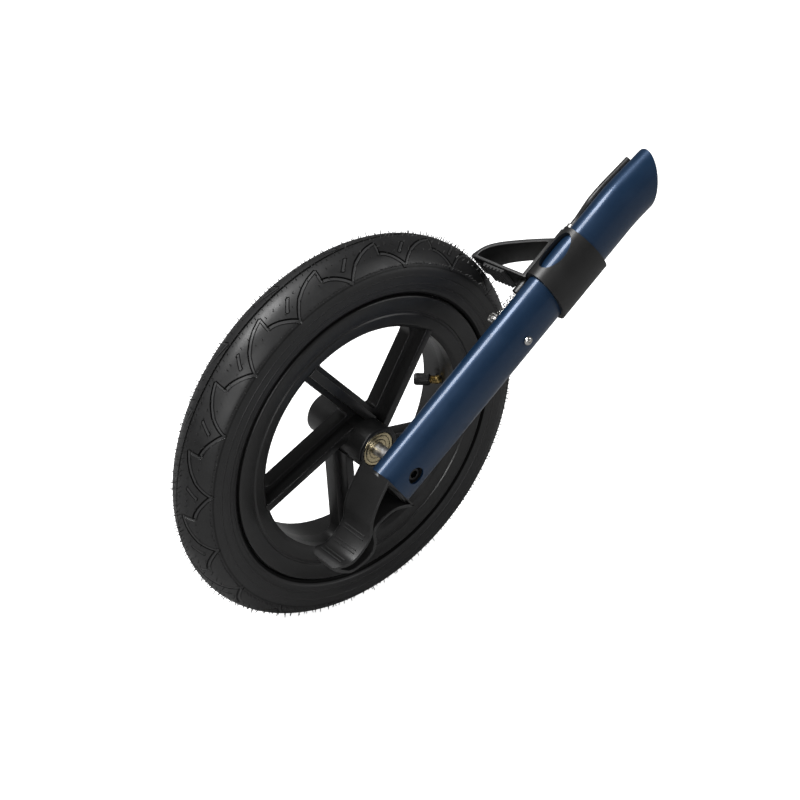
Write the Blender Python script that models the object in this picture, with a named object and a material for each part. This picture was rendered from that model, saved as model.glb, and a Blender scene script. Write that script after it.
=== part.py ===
"""Air-tyred stroller wheel on its leg, with the sliding tyre brake and the foot pedal.

Metres. The axle is the wheel frame's Y axis, the leg is on the -Y side, and +Z is up.
In the leg frame x runs up the leg, y is the axle's direction and z is across the leg.
"""

from math import cos, pi, radians, sin, sqrt, tan

import bmesh
import bpy
from mathutils import Matrix, Vector

# Running and seating gaps
GAP = 0.0003

# Tyre, 12.5 inch by 1.75
TYRE_RADIUS = 0.149
TYRE_HALF_WIDTH = 0.0225
TYRE_WALL = 0.0033
TUBE_WALL = 0.001

# Rim
SEAT_RADIUS = 0.1018
FLANGE_RADIUS = 0.112
FLANGE_HALF_WIDTH = 0.0216
FLANGE_WALL = 0.004
WELL_RADIUS = 0.0965
RIM_BORE_RADIUS = 0.087
RIM_BORE_HALF_WIDTH = 0.0195

# Spokes: a beam with a rib on its near side, set beside the axle
SPOKES = 5
SPOKE_ANGLE = radians(58.5)
SPOKE_OFFSET = 0.0145
BEAM_WIDTH = 0.0146
BEAM_FAR_Y = -0.0004
BEAM_NEAR_Y = -0.0114
RIB_WIDTH = 0.0064
RIB_NEAR_Y = -0.0198

# Bearings, 10 x 26 x 8
BEARING_BORE = 0.005
BEARING_RADIUS = 0.013
BEARING_WIDTH = 0.008
RACE_WALL = 0.002
BALL_RADIUS = 0.00145
BALLS = 8
SHIELD_THICKNESS = 0.0006
NEAR_BEARING_Y = -0.035
FAR_BEARING_Y = 0.013

# Hub
HUB_WALL = 0.0033
HUB_BORE = 0.0095
HUB_DISC_RADIUS = 0.023
CAP_THICKNESS = 0.0015

# Axle and its bolt
AXLE_RADIUS = BEARING_BORE - GAP
AXLE_HEAD_RADIUS = 0.0085
AXLE_HEAD = 0.0022
BOLT_RADIUS = 0.003
BOLT_HEAD_RADIUS = 0.005
BOLT_HEAD = 0.0052
BOLT_RECESS_RADIUS = 0.0065
BOLT_HEX = 0.0025

# Valve
VALVE_TURN = radians(2.6)
VALVE_BEND = radians(45.0)
ELBOW_RADIUS = 0.0851
VALVE_RADIUS = 0.0032
TIP_RADIUS = 0.003
VALVE_LENGTH = 0.0138
VALVE_FOOT = -0.0222
CAP_RADIUS = 0.0045
CAP_START = 0.0053
CAP_END = 0.017

# Leg
LEG_ANGLE = radians(35.2)
LEG_Y = -0.0638
LEG_HALF_WIDTH = 0.021
LEG_HALF_DEPTH = 0.013
LEG_WALL = 0.0015
LEG_START = -0.016
BEND_START = 0.232
BEND_RADIUS = 0.12
BEND_ANGLE = radians(7.0)
LEG_END_X = 0.22

# Foot pedal, plugged into the leg
PLUG_END = 0.018
PEDAL_WIDTH = 0.030
PEDAL_WALL = 0.0028
PEDAL_WEB = 0.0025

# Brake
SLEEVE_WALL = 0.0033
SLEEVE_GAP = 0.0004
SLEEVE_START = 0.1565
SLEEVE_END = 0.202
SLEEVE_SLANT = 0.125
WINDOW_AT = 0.1826
WINDOW_HALF_LENGTH = 0.0155
WINDOW_HALF_WIDTH = 0.008
CROWN_GAP = 0.001
BRAKE_RELEASE = 0.003
HOOP_WIDTH = 0.025
HOOP_TILT = 0.142
STRUT_THICKNESS = 0.0024
ARCH_THICKNESS = 0.0029
PAD_START_Y = -0.012
PAD_TEETH = 6
TOOTH_PITCH = 0.0031
TOOTH_DEPTH = 0.0017
PAD_BASE = 0.0011
PAD_WIDTH = 0.022

# Brake cable
CABLE_Z = 0.003
CABLE_HIGH_Z = 0.009
CABLE_RADIUS = 0.0025
WIRE_RADIUS = 0.0008
FERRULE_START = 0.1903
FERRULE_END = 0.209
CABLE_START = 0.2
BLOCK_START = 0.146
BLOCK_RADIUS = 0.004
BOSS_START = 0.1845

# Anchor that holds the brake wire
ANCHOR_AT = 0.123
ANCHOR_RADIUS = 0.0038
ANCHOR_END_Y = -0.038
SCREW_RADIUS = 0.0015
SCREW_HEAD_RADIUS = 0.0035
SCREW_HEAD = 0.0022

# Return spring round the wire
SPRING_RADIUS = 0.0026
SPRING_WIRE = 0.0004
SPRING_TURNS = 5

# Worked out from the sizes above
SEAT_BORE = BEARING_RADIUS + GAP
HUB_RADIUS = SEAT_BORE + HUB_WALL
FAR_HEAD_Y = FAR_BEARING_Y + BEARING_WIDTH + GAP
CAP_Y = FAR_HEAD_Y + AXLE_HEAD + GAP
HUB_FAR_Y = CAP_Y + CAP_THICKNESS + GAP
HUB_NEAR_Y = NEAR_BEARING_Y - 0.0002
PITCH_RADIUS = (BEARING_BORE + BEARING_RADIUS) / 2
LEG_OUTER_Y = LEG_Y - LEG_HALF_DEPTH
LEG_INNER_Y = LEG_Y + LEG_HALF_DEPTH
PEDAL_NEAR_Y = LEG_OUTER_Y
CABLE_Y = LEG_INNER_Y + 0.0055
CABLE_HIGH_Y = LEG_INNER_Y + CABLE_RADIUS + GAP
HOOP_TIP = TYRE_RADIUS + CROWN_GAP + STRUT_THICKNESS


def clear_scene():
    for obj in list(bpy.data.objects):
        bpy.data.objects.remove(obj, do_unlink=True)


def material(name, colour, roughness, metallic=0.0):
    made = bpy.data.materials.new(name)
    made.use_nodes = True
    shader = made.node_tree.nodes["Principled BSDF"]
    shader.inputs["Base Color"].default_value = (*colour, 1.0)
    shader.inputs["Roughness"].default_value = roughness
    shader.inputs["Metallic"].default_value = metallic
    return made


def empty(name, location, rotation=(0.0, 0.0, 0.0)):
    made = bpy.data.objects.new(name, None)
    made.location = location
    made.rotation_euler = rotation
    bpy.context.scene.collection.objects.link(made)
    return made


def add_object(name, mesh_data, parent, finish):
    """An object in the scene, under its frame's empty."""
    made = bpy.data.objects.new(name, mesh_data)
    bpy.context.scene.collection.objects.link(made)
    made.parent = parent
    if finish:
        mesh_data.materials.append(finish)
    return made


def mesh_of(name, build):
    """A mesh made by build(bm), with its normals facing out."""
    bm = bmesh.new()
    build(bm)
    bmesh.ops.recalc_face_normals(bm, faces=bm.faces)
    if bm.calc_volume(signed=True) < 0:
        bmesh.ops.reverse_faces(bm, faces=bm.faces)
    made = bpy.data.meshes.new(name)
    bm.to_mesh(made)
    bm.free()
    made.shade_smooth()
    made.set_sharp_from_angle(angle=radians(35))
    return made


def rings(bm, loops, joined):
    """Faces between loops of vertices; joined closes the last loop onto the first."""
    made = [[bm.verts.new(point) for point in loop] for loop in loops]
    pairs = list(zip(made, made[1:]))
    if joined:
        pairs.append((made[-1], made[0]))
    for low, high in pairs:
        for k in range(max(len(low), len(high))):
            corners = [low[k % len(low)], low[(k + 1) % len(low)]]
            corners += [high[(k + 1) % len(high)], high[k % len(high)]]
            bm.faces.new(dict.fromkeys(corners))
    return made


def turned(name, profile, parent, finish, count=32, at=None):
    """A turned solid from (radius, along) points round the Y axis, or round another axis given by at."""
    place = at or Matrix.Identity(4)
    closed = all(radius > 0 for radius, _ in profile)

    def build(bm):
        loops = []
        for radius, along in profile:
            steps = count if radius > 0 else 1
            turns = (2 * pi * k / steps for k in range(steps))
            loops.append([place @ Vector((radius * cos(t), along, radius * sin(t))) for t in turns])
        rings(bm, loops, closed)

    return add_object(name, mesh_of(name, build), parent, finish)


def prism(name, outline, low, high, parent, finish, axis="y"):
    """An outline pushed from low to high along axis: (x, z) points for y, (x, y) points for z."""

    def point(a, b, c):
        return Vector((a, c, b)) if axis == "y" else Vector((a, b, c))

    def build(bm):
        loops = [[point(a, b, side) for a, b in outline] for side in (low, high)]
        ends = rings(bm, loops, False)
        bm.faces.new(ends[0])
        bm.faces.new(ends[1])

    return add_object(name, mesh_of(name, build), parent, finish)


def use(target, other, operation):
    """A Boolean on target; the other object becomes a hidden helper."""
    other.hide_render = True
    other.display_type = "WIRE"
    modifier = target.modifiers.new(other.name, "BOOLEAN")
    modifier.operation = operation
    modifier.object = other


def along_x(y=0.0, z=0.0):
    """Turns the Y axis of a turned solid into the x axis of the leg frame."""
    return Matrix.Translation((0.0, y, z)) @ Matrix.Rotation(-pi / 2, 4, "Z")


def arc(centre, radius, start, end, steps):
    turns = (start + (end - start) * k / steps for k in range(steps + 1))
    return [(centre[0] + radius * cos(t), centre[1] + radius * sin(t)) for t in turns]


def mirrored(points):
    """A profile closed by its mirror image at -y."""
    return points + [(radius, -y) for radius, y in reversed(points) if y != 0]


def smooth_line(points, steps):
    """Catmull-Rom points through the given ones."""
    ends = [points[0]] + list(points) + [points[-1]]
    line = []
    for a, b, c, d in zip(ends, ends[1:], ends[2:], ends[3:]):
        for k in range(steps):
            t = k / steps
            weights = (-t + 2 * t**2 - t**3, 2 - 5 * t**2 + 3 * t**3, t + 4 * t**2 - 3 * t**3, t**3 - t**2)
            line.append(tuple(sum(w * p[i] for w, p in zip(weights, (a, b, c, d))) / 2 for i in (0, 1)))
    return line + [points[-1]]


def moved_in(line, distance):
    """A line moved sideways, to its left as it runs."""
    moved = []
    for k, (x, z) in enumerate(line):
        ahead = line[min(k + 1, len(line) - 1)]
        behind = line[max(k - 1, 0)]
        run = Vector((ahead[0] - behind[0], ahead[1] - behind[1])).normalized()
        moved.append((x - distance * run.y, z + distance * run.x))
    return moved


def oval(half_z, half_y, count):
    """(y, z) points of an ellipse round the leg's centreline."""
    turns = (2 * pi * k / count for k in range(count))
    return [(LEG_Y + half_y * cos(t), half_z * sin(t)) for t in turns]


def tyre_point(share, y):
    """(radius, y) at a share of the way from the rim's flange to the crown."""
    return FLANGE_RADIUS + share * (TYRE_RADIUS - FLANGE_RADIUS), y


def make_tyre(parent, finish):
    bead = FLANGE_HALF_WIDTH - FLANGE_WALL - GAP
    bottom = SEAT_RADIUS + GAP
    outer = [
        (bottom, bead),
        (FLANGE_RADIUS + 0.0008, bead),
        (FLANGE_RADIUS + 0.0014, TYRE_HALF_WIDTH - 0.0022),
        tyre_point(0.19, TYRE_HALF_WIDTH - 0.0004),
        tyre_point(0.405, TYRE_HALF_WIDTH),
        tyre_point(0.635, TYRE_HALF_WIDTH * 0.889),
        tyre_point(0.824, TYRE_HALF_WIDTH * 0.658),
        tyre_point(0.957, TYRE_HALF_WIDTH * 0.338),
        tyre_point(1.0, 0.0),
    ]
    room = TYRE_HALF_WIDTH - TYRE_WALL
    inner = [
        (TYRE_RADIUS - TYRE_WALL, 0.0),
        (tyre_point(0.865, 0)[0], room * 0.365),
        (tyre_point(0.735, 0)[0], room * 0.656),
        (tyre_point(0.58, 0)[0], room * 0.885),
        (tyre_point(0.405, 0)[0], room),
        (tyre_point(0.19, 0)[0], room - 0.0002),
        (FLANGE_RADIUS - 0.001, bead - 0.0034),
        (bottom, bead - 0.0055),
    ]
    far = outer[:-1]
    near = [(radius, -y) for radius, y in reversed(far)]
    far_in = inner[1:]
    near_in = [(radius, -y) for radius, y in reversed(far_in)]
    turned("tyre", far + outer[-1:] + near + near_in + inner[:1] + far_in, parent, finish, 48)


def valve_place():
    """The valve's foot: its Y axis runs inwards from the rim, with the elbow at the origin."""
    outwards = Matrix.Rotation(-VALVE_TURN, 4, "Y") @ Matrix.Translation((ELBOW_RADIUS, 0.0, 0.0))
    return outwards @ Matrix.Rotation(pi / 2, 4, "Y") @ Matrix.Rotation(-pi / 2, 4, "X")


def tip_place():
    """The valve's bent end: its Y axis leans from the elbow to the far side."""
    return valve_place() @ Matrix.Rotation(VALVE_BEND, 4, "X")


def make_inner_tube(parent, finish):
    middle = (SEAT_RADIUS + TYRE_RADIUS - TYRE_WALL) / 2
    high = (TYRE_RADIUS - TYRE_WALL - SEAT_RADIUS) / 2 - 2 * GAP
    wide = TYRE_HALF_WIDTH - TYRE_WALL - 0.0037
    skins = []
    for less in (0.0, TUBE_WALL):
        turns = (2 * pi * k / 10 for k in range(10))
        skins.append([(middle + (high - less) * cos(t), (wide - less) * sin(t)) for t in turns])
    tube = turned("inner_tube", skins[0], parent, finish, 36)
    use(tube, turned("tube_hollow", skins[1], parent, None, 36), "DIFFERENCE")
    hole = VALVE_RADIUS + GAP
    passage = [(0, VALVE_FOOT), (hole, VALVE_FOOT), (hole, 0), (0, 0)]
    use(tube, turned("tube_hole", passage, parent, None, 12, valve_place()), "DIFFERENCE")


def spoke_section():
    """(across, y) outline of a spoke, across being measured clockwise from the axle."""
    beam = BEAM_WIDTH / 2
    rib = RIB_WIDTH / 2
    half = [(beam, BEAM_FAR_Y), (beam, BEAM_NEAR_Y), (rib, BEAM_NEAR_Y), (rib, RIB_NEAR_Y)]
    return [(SPOKE_OFFSET + a, y) for a, y in half] + [(SPOKE_OFFSET - a, y) for a, y in reversed(half)]


def make_rim(parent, finish):
    flange_in = FLANGE_HALF_WIDTH - FLANGE_WALL
    ring = mirrored(
        [
            (WELL_RADIUS, 0.0085),
            (SEAT_RADIUS, 0.0115),
            (SEAT_RADIUS, flange_in),
            (FLANGE_RADIUS, flange_in),
            (FLANGE_RADIUS, FLANGE_HALF_WIDTH),
            (0.0995, FLANGE_HALF_WIDTH - 0.0004),
            (0.0985, RIM_BORE_HALF_WIDTH + 0.0007),
            (RIM_BORE_RADIUS, RIM_BORE_HALF_WIDTH),
        ]
    )
    rim = turned("wheel_rim", ring, parent, finish, 60)
    disc = HUB_DISC_RADIUS
    hub = [
        (HUB_RADIUS, HUB_NEAR_Y),
        (HUB_RADIUS, BEAM_NEAR_Y - 0.001),
        (disc, BEAM_NEAR_Y - 0.001),
        (disc, BEAM_FAR_Y),
        (HUB_RADIUS, BEAM_FAR_Y + 0.001),
        (HUB_RADIUS - 0.0008, HUB_FAR_Y),
        (0, HUB_FAR_Y),
    ]
    use(rim, turned("hub_barrel", [(0, HUB_NEAR_Y)] + hub, parent, None, 30), "UNION")
    reach = sqrt(WELL_RADIUS**2 - (SPOKE_OFFSET + BEAM_WIDTH / 2) ** 2) - 0.004
    for k in range(SPOKES):
        spoke = prism(f"spoke_{k + 1}", spoke_section(), -0.002, reach, parent, None, "z")
        spoke.data.transform(Matrix.Rotation(pi / 2 - SPOKE_ANGLE - k * 2 * pi / SPOKES, 4, "Y"))
        use(rim, spoke, "UNION")
    near_seat = NEAR_BEARING_Y + BEARING_WIDTH + GAP
    far_seat = FAR_BEARING_Y - GAP
    bore = [
        (0, HUB_NEAR_Y - 0.01),
        (SEAT_BORE, HUB_NEAR_Y - 0.01),
        (SEAT_BORE, near_seat),
        (HUB_BORE, near_seat),
        (HUB_BORE, far_seat),
        (SEAT_BORE, far_seat),
        (SEAT_BORE, HUB_FAR_Y + 0.01),
        (0, HUB_FAR_Y + 0.01),
    ]
    use(rim, turned("hub_bore", bore, parent, None, 30), "DIFFERENCE")
    hole = VALVE_RADIUS + GAP
    passage = [(0, -0.018), (hole, -0.018), (hole, 0.008), (0, 0.008)]
    use(rim, turned("rim_valve_hole", passage, parent, None, 12, valve_place()), "DIFFERENCE")


def make_valve(parent, brass, black):
    dome = [(VALVE_RADIUS * cos(pi * k / 8), VALVE_RADIUS * sin(pi * k / 8)) for k in range(4)]
    foot = [
        (0, VALVE_FOOT - 0.0013),
        (0.0048, VALVE_FOOT - 0.0013),
        (0.0048, VALVE_FOOT),
        (VALVE_RADIUS, VALVE_FOOT),
        *dome,
        (0, VALVE_RADIUS),
    ]
    stem = turned("valve_stem", foot, parent, brass, 14, valve_place())
    thread = TIP_RADIUS - 0.0004
    tip = [
        (0, 0),
        (TIP_RADIUS, 0),
        (TIP_RADIUS, CAP_START - GAP),
        (thread, CAP_START - GAP),
        (thread, VALVE_LENGTH),
        (0, VALVE_LENGTH),
    ]
    use(stem, turned("valve_tip", tip, parent, None, 14, tip_place()), "UNION")
    bore = thread + GAP
    cap = [
        (0, VALVE_LENGTH + GAP),
        (bore, VALVE_LENGTH + GAP),
        (bore, CAP_START),
        (CAP_RADIUS, CAP_START),
        (CAP_RADIUS, CAP_END - 0.001),
        (CAP_RADIUS - 0.001, CAP_END),
        (0, CAP_END),
    ]
    turned("valve_cap", cap, parent, black, 16, tip_place())


def ring_profile(inner, outer, low, high):
    return [(outer, low), (outer, high), (inner, high), (inner, low)]


def make_cage(name, middle, parent, finish):
    """The ring that carries the balls, with the balls it carries."""
    half = 0.00045
    profile = ring_profile(PITCH_RADIUS - half, PITCH_RADIUS + half, middle - 0.0018, middle + 0.0018)
    cage = turned(name, profile, parent, finish, 16)
    for k in range(BALLS):
        turn = 2 * pi * (k + 0.5) / BALLS

        def build(bm):
            place = Matrix.Translation((PITCH_RADIUS * cos(turn), middle, PITCH_RADIUS * sin(turn)))
            bmesh.ops.create_uvsphere(bm, u_segments=6, v_segments=4, radius=BALL_RADIUS, matrix=place)

        ball = add_object(f"{name}_ball_{k + 1}", mesh_of(name, build), parent, None)
        use(cage, ball, "UNION")


def make_bearing(side, start, shield_out, wheel, leg, steel, gold):
    """One ball bearing; shield_out is -1 where its shield faces -Y and +1 where it faces +Y."""
    end = start + BEARING_WIDTH
    outer_bore = BEARING_RADIUS - RACE_WALL - 0.0002
    inner_top = BEARING_BORE + RACE_WALL + 0.0003
    turned(f"{side}_bearing_outer_race", ring_profile(outer_bore, BEARING_RADIUS, start, end), wheel, gold, 24)
    turned(f"{side}_bearing_inner_race", ring_profile(BEARING_BORE, inner_top, start, end), leg, steel, 24)
    middle = (start + end) / 2
    make_cage(f"{side}_bearing_cage", middle, wheel, steel)
    face = middle + shield_out * (BEARING_WIDTH / 2 - 0.0001)
    back = face - shield_out * SHIELD_THICKNESS
    shield = ring_profile(inner_top + GAP, outer_bore - GAP, min(face, back), max(face, back))
    turned(f"{side}_bearing_shield", shield, wheel, gold, 24)


def make_axle(leg, steel, black):
    inner_end = LEG_OUTER_Y + LEG_WALL + 0.0093
    thread = BOLT_RADIUS + GAP
    axle = [
        (0, inner_end + 0.0135),
        (thread, inner_end + 0.0135),
        (thread, inner_end),
        (AXLE_RADIUS, inner_end),
        (AXLE_RADIUS, FAR_HEAD_Y),
        (AXLE_HEAD_RADIUS, FAR_HEAD_Y),
        (AXLE_HEAD_RADIUS, FAR_HEAD_Y + AXLE_HEAD),
        (0, FAR_HEAD_Y + AXLE_HEAD),
    ]
    turned("axle", axle, leg, steel, 24)
    head_y = LEG_OUTER_Y + 0.0025
    bolt = [
        (0, head_y + 0.003),
        (BOLT_HEX, head_y + 0.003),
        (BOLT_HEX, head_y),
        (BOLT_HEAD_RADIUS, head_y),
        (BOLT_HEAD_RADIUS, head_y + BOLT_HEAD),
        (BOLT_RADIUS, head_y + BOLT_HEAD),
        (BOLT_RADIUS, inner_end + 0.012),
        (0, inner_end + 0.012),
    ]
    turned("axle_bolt", bolt, leg, black, 18)
    spacer = ring_profile(BEARING_BORE, BEARING_BORE + 0.0015, NEAR_BEARING_Y + BEARING_WIDTH + GAP, FAR_BEARING_Y - GAP)
    turned("bearing_spacer", spacer, leg, steel, 20)


def leg_stations():
    """Places along the leg's centreline, as (x, z, slope) in the leg frame."""
    stations = [(LEG_START, 0.0, 0.0), (BEND_START, 0.0, 0.0)]
    for k in range(1, 5):
        turn = BEND_ANGLE * k / 4
        stations.append((BEND_START + BEND_RADIUS * sin(turn), -BEND_RADIUS * (1 - cos(turn)), -turn))
    return stations


def at_leg_end(x, z, slope):
    """The point where a line along the leg's last stretch meets its plumb end."""
    short = LEG_END_X - (x * cos(LEG_ANGLE) - z * sin(LEG_ANGLE))
    run = short / cos(LEG_ANGLE + slope)
    return x + run * cos(slope), z + run * sin(slope)


def leg_skin(half_z, half_y, extra, count):
    """Loops of points along the leg, the last one lying in its plumb end plane."""
    loops = []
    section = oval(half_z, half_y, count)
    for x, z, slope in leg_stations():
        loops.append([Vector((x - across * sin(slope), y, z + across * cos(slope))) for y, across in section])
    slope = -BEND_ANGLE
    ends = [at_leg_end(point.x, point.z, slope) for point in loops[-1]]
    loops.append([Vector((x + extra, y, z + extra * tan(slope))) for (x, z), (y, _) in zip(ends, section)])
    loops[0] = [point - Vector((extra, 0, 0)) for point in loops[0]]
    return loops


def skin_object(name, half_z, half_y, extra, parent, finish):
    def build(bm):
        ends = rings(bm, leg_skin(half_z, half_y, extra, 32), False)
        bm.faces.new(ends[0])
        bm.faces.new(ends[-1])

    return add_object(name, mesh_of(name, build), parent, finish)


def cross_hole(name, x, radius, low, high, parent, count=16):
    """A round cutter through the leg at x, along the axle's direction."""
    profile = [(0, low), (radius, low), (radius, high), (0, high)]
    return turned(name, profile, parent, None, count, Matrix.Translation((x, 0.0, 0.0)))


def make_leg(parent, finish):
    tube = skin_object("leg_tube", LEG_HALF_WIDTH, LEG_HALF_DEPTH, 0.0, parent, finish)
    inner = (LEG_HALF_WIDTH - LEG_WALL, LEG_HALF_DEPTH - LEG_WALL)
    use(tube, skin_object("leg_bore", *inner, 0.001, parent, None), "DIFFERENCE")
    out = LEG_OUTER_Y - 0.005
    through = LEG_INNER_Y + 0.005
    use(tube, cross_hole("leg_bolt_recess", 0.0, BOLT_RECESS_RADIUS, out, LEG_Y, parent, 24), "DIFFERENCE")
    use(tube, cross_hole("leg_axle_hole", 0.0, BEARING_BORE + GAP, LEG_Y, through, parent), "DIFFERENCE")
    use(tube, cross_hole("leg_screw_hole", ANCHOR_AT, SCREW_RADIUS + GAP, out, through, parent), "DIFFERENCE")


def pedal_lines():
    """The pedal's top and bottom edges, from the leg to the toe."""
    edge = LEG_HALF_WIDTH - 0.0002
    top = [(LEG_START, edge), (-0.033, 0.0136), (-0.045, 0.0062), (-0.055, -0.0039), (-0.072, -0.006), (-0.081, -0.0002), (-0.0862, 0.0008)]
    low = [(LEG_START, -edge), (-0.028, -0.007), (-0.0455, -0.0036), (-0.053, -0.014), (-0.062, -0.019), (-0.078, -0.0144), (-0.0866, -0.0055)]
    return smooth_line(top, 3), smooth_line(low, 3)


def make_pedal(parent, finish):
    top, low = pedal_lines()
    toe = [(-0.0876, -0.0024)]
    far = PEDAL_NEAR_Y + PEDAL_WIDTH
    pedal = prism("foot_pedal", top + toe + low[::-1], PEDAL_NEAR_Y, far, parent, finish)
    room = 0.0006
    pocket_top = moved_in(top, PEDAL_WALL)
    pocket_low = moved_in(low, -PEDAL_WALL)
    last = len(top) - 5
    pairs = [(a, b) for a, b in zip(pocket_top[:last], pocket_low[:last]) if a[1] - b[1] > room]
    start = LEG_START - PEDAL_WALL
    line_top = [a for a, _ in pairs if a[0] < start]
    line_low = [b for _, b in pairs if b[0] < start]
    pocket = line_top + line_low[::-1]
    use(pedal, prism("pedal_pocket", pocket, PEDAL_NEAR_Y - 0.01, far - PEDAL_WEB, parent, None), "DIFFERENCE")
    inner = (LEG_HALF_WIDTH - LEG_WALL - GAP, LEG_HALF_DEPTH - LEG_WALL - GAP)

    def build(bm):
        section = oval(*inner, 28)
        loops = [[Vector((x, y, z)) for y, z in section] for x in (LEG_START - 0.002, PLUG_END)]
        ends = rings(bm, loops, False)
        bm.faces.new(ends[0])
        bm.faces.new(ends[1])

    use(pedal, add_object("pedal_plug", mesh_of("pedal_plug", build), parent, None), "UNION")
    seat = LEG_OUTER_Y + 0.0025 + BOLT_HEAD + GAP
    out = LEG_OUTER_Y - 0.005
    use(pedal, cross_hole("plug_bolt_recess", 0.0, BOLT_RECESS_RADIUS, out, seat, parent, 24), "DIFFERENCE")
    use(pedal, cross_hole("plug_bolt_hole", 0.0, BOLT_RADIUS + GAP, out, LEG_Y, parent), "DIFFERENCE")
    axle_end = LEG_OUTER_Y + LEG_WALL + 0.0093 - GAP
    use(pedal, cross_hole("plug_axle_hole", 0.0, BEARING_BORE + GAP, axle_end, 0.0, parent), "DIFFERENCE")


def make_anchor(parent, steel):
    head = LEG_OUTER_Y - GAP
    screw = [
        (0, head - SCREW_HEAD + 0.001),
        (0.0012, head - SCREW_HEAD + 0.001),
        (0.0014, head - SCREW_HEAD),
        (SCREW_HEAD_RADIUS - 0.0008, head - SCREW_HEAD),
        (SCREW_HEAD_RADIUS, head - SCREW_HEAD + 0.0008),
        (SCREW_HEAD_RADIUS, head),
        (SCREW_RADIUS, head),
        (SCREW_RADIUS, ANCHOR_END_Y - 0.004),
        (0, ANCHOR_END_Y - 0.004),
    ]
    place = Matrix.Translation((ANCHOR_AT, 0.0, 0.0))
    turned("anchor_screw", screw, parent, steel, 16, place)
    bore = SCREW_RADIUS + GAP
    nut = [
        (0, ANCHOR_END_Y - 0.003),
        (bore, ANCHOR_END_Y - 0.003),
        (bore, LEG_INNER_Y + GAP),
        (ANCHOR_RADIUS, LEG_INNER_Y + GAP),
        (ANCHOR_RADIUS, ANCHOR_END_Y - 0.0008),
        (ANCHOR_RADIUS - 0.0008, ANCHOR_END_Y),
        (0, ANCHOR_END_Y),
    ]
    turned("anchor_nut", nut, parent, steel, 18, place)


def strut_top(y):
    """How far up the leg the top of the brake's strut is, at this y."""
    return HOOP_TIP - HOOP_TILT * y


def hoop_outlines():
    """(x, y) outlines of the D-shaped hoop and of the gap inside it."""
    root = LEG_INNER_Y + SLEEVE_GAP + 0.0002
    arch = [(strut_top(0.0003), 0.0003), (0.1616, -0.004), (0.1703, -0.013), (0.1833, -0.0325), (0.1936, root)]
    outer_arch = smooth_line(arch, 4)
    inner_arch = moved_in(outer_arch, -ARCH_THICKNESS)
    outer = [(strut_top(root) - STRUT_THICKNESS, root), (strut_top(0.0) - STRUT_THICKNESS, 0.0003)] + outer_arch
    inside_y = LEG_INNER_Y + SLEEVE_GAP + SLEEVE_WALL + 0.0012
    rows = [(x, y) for x, y in inner_arch if x > strut_top(y) + 0.0015 and y > inside_y]
    inner = [(strut_top(rows[0][1]), rows[0][1])] + rows + [(rows[-1][0] + 0.0008, inside_y), (strut_top(inside_y), inside_y)]
    return outer, inner


def sleeve_loops(half_z, half_y, extra, count):
    section = oval(half_z, half_y, count)
    start = [Vector((SLEEVE_START - extra + SLEEVE_SLANT * z, y, z)) for y, z in section]
    end = [Vector((SLEEVE_END + extra, y, z)) for y, z in section]
    return [start, end]


def sleeve_object(name, more, extra, parent, finish):
    def build(bm):
        ends = rings(bm, sleeve_loops(LEG_HALF_WIDTH + more, LEG_HALF_DEPTH + more, extra, 32), False)
        bm.faces.new(ends[0])
        bm.faces.new(ends[1])

    return add_object(name, mesh_of(name, build), parent, finish)


def rod(name, radius, start, end, parent, count=14):
    """A round helper along the brake wire's line."""
    profile = [(0, start), (radius, start), (radius, end), (0, end)]
    return turned(name, profile, parent, None, count, along_x(CABLE_Y, CABLE_Z))


def make_carrier(parent, finish):
    """The brake's one moulding: sleeve, hoop, cable boss and spring block."""
    carrier = sleeve_object("brake_carrier", SLEEVE_GAP + SLEEVE_WALL, 0.0, parent, finish)
    outer, inner = hoop_outlines()
    low = CABLE_Z - 0.0016 - HOOP_WIDTH / 2
    hoop = prism("hoop_body", outer, low, low + HOOP_WIDTH, parent, None, "z")
    use(hoop, prism("hoop_gap", inner, low - 0.01, low + HOOP_WIDTH + 0.01, parent, None, "z"), "DIFFERENCE")
    use(carrier, hoop, "UNION")
    use(carrier, rod("cable_boss", 0.0046, BOSS_START, SLEEVE_END + 0.0005, parent), "UNION")
    use(carrier, rod("spring_block", BLOCK_RADIUS, BLOCK_START, strut_top(CABLE_Y) - 0.001, parent), "UNION")
    use(carrier, sleeve_object("carrier_bore", SLEEVE_GAP, 0.02, parent, None), "DIFFERENCE")
    across = [(WINDOW_AT + WINDOW_HALF_LENGTH * cos(t), LEG_Y + WINDOW_HALF_WIDTH * sin(t)) for t in (2 * pi * k / 20 for k in range(20))]
    use(carrier, prism("sleeve_window", across, 0.0, 0.04, parent, None, "z"), "DIFFERENCE")
    use(carrier, rod("ferrule_bore", 0.0037, FERRULE_START - GAP, SLEEVE_END + 0.01, parent), "DIFFERENCE")
    use(carrier, rod("wire_bore", WIRE_RADIUS + 0.0005, BLOCK_START - 0.01, FERRULE_START + 0.001, parent, 10), "DIFFERENCE")


def make_pad(parent, finish):
    """The ribbed block under the strut, facing the tyre."""

    def under(y, depth):
        return (strut_top(y) - STRUT_THICKNESS - GAP - depth, y)

    end_y = PAD_START_Y - PAD_TEETH * TOOTH_PITCH
    outline = [under(end_y, 0.0), under(PAD_START_Y, 0.0)]
    for k in range(PAD_TEETH):
        start = PAD_START_Y - k * TOOTH_PITCH
        outline.append(under(start, PAD_BASE))
        outline.append(under(start - 0.25 * TOOTH_PITCH, PAD_BASE + TOOTH_DEPTH))
        outline.append(under(start - 0.6 * TOOTH_PITCH, PAD_BASE + TOOTH_DEPTH))
        outline.append(under(start - 0.85 * TOOTH_PITCH, PAD_BASE))
    outline.append(under(end_y, PAD_BASE))
    low = CABLE_Z - 0.0016 - PAD_WIDTH / 2
    prism("brake_pad", outline, low, low + PAD_WIDTH, parent, finish, "z")


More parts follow.
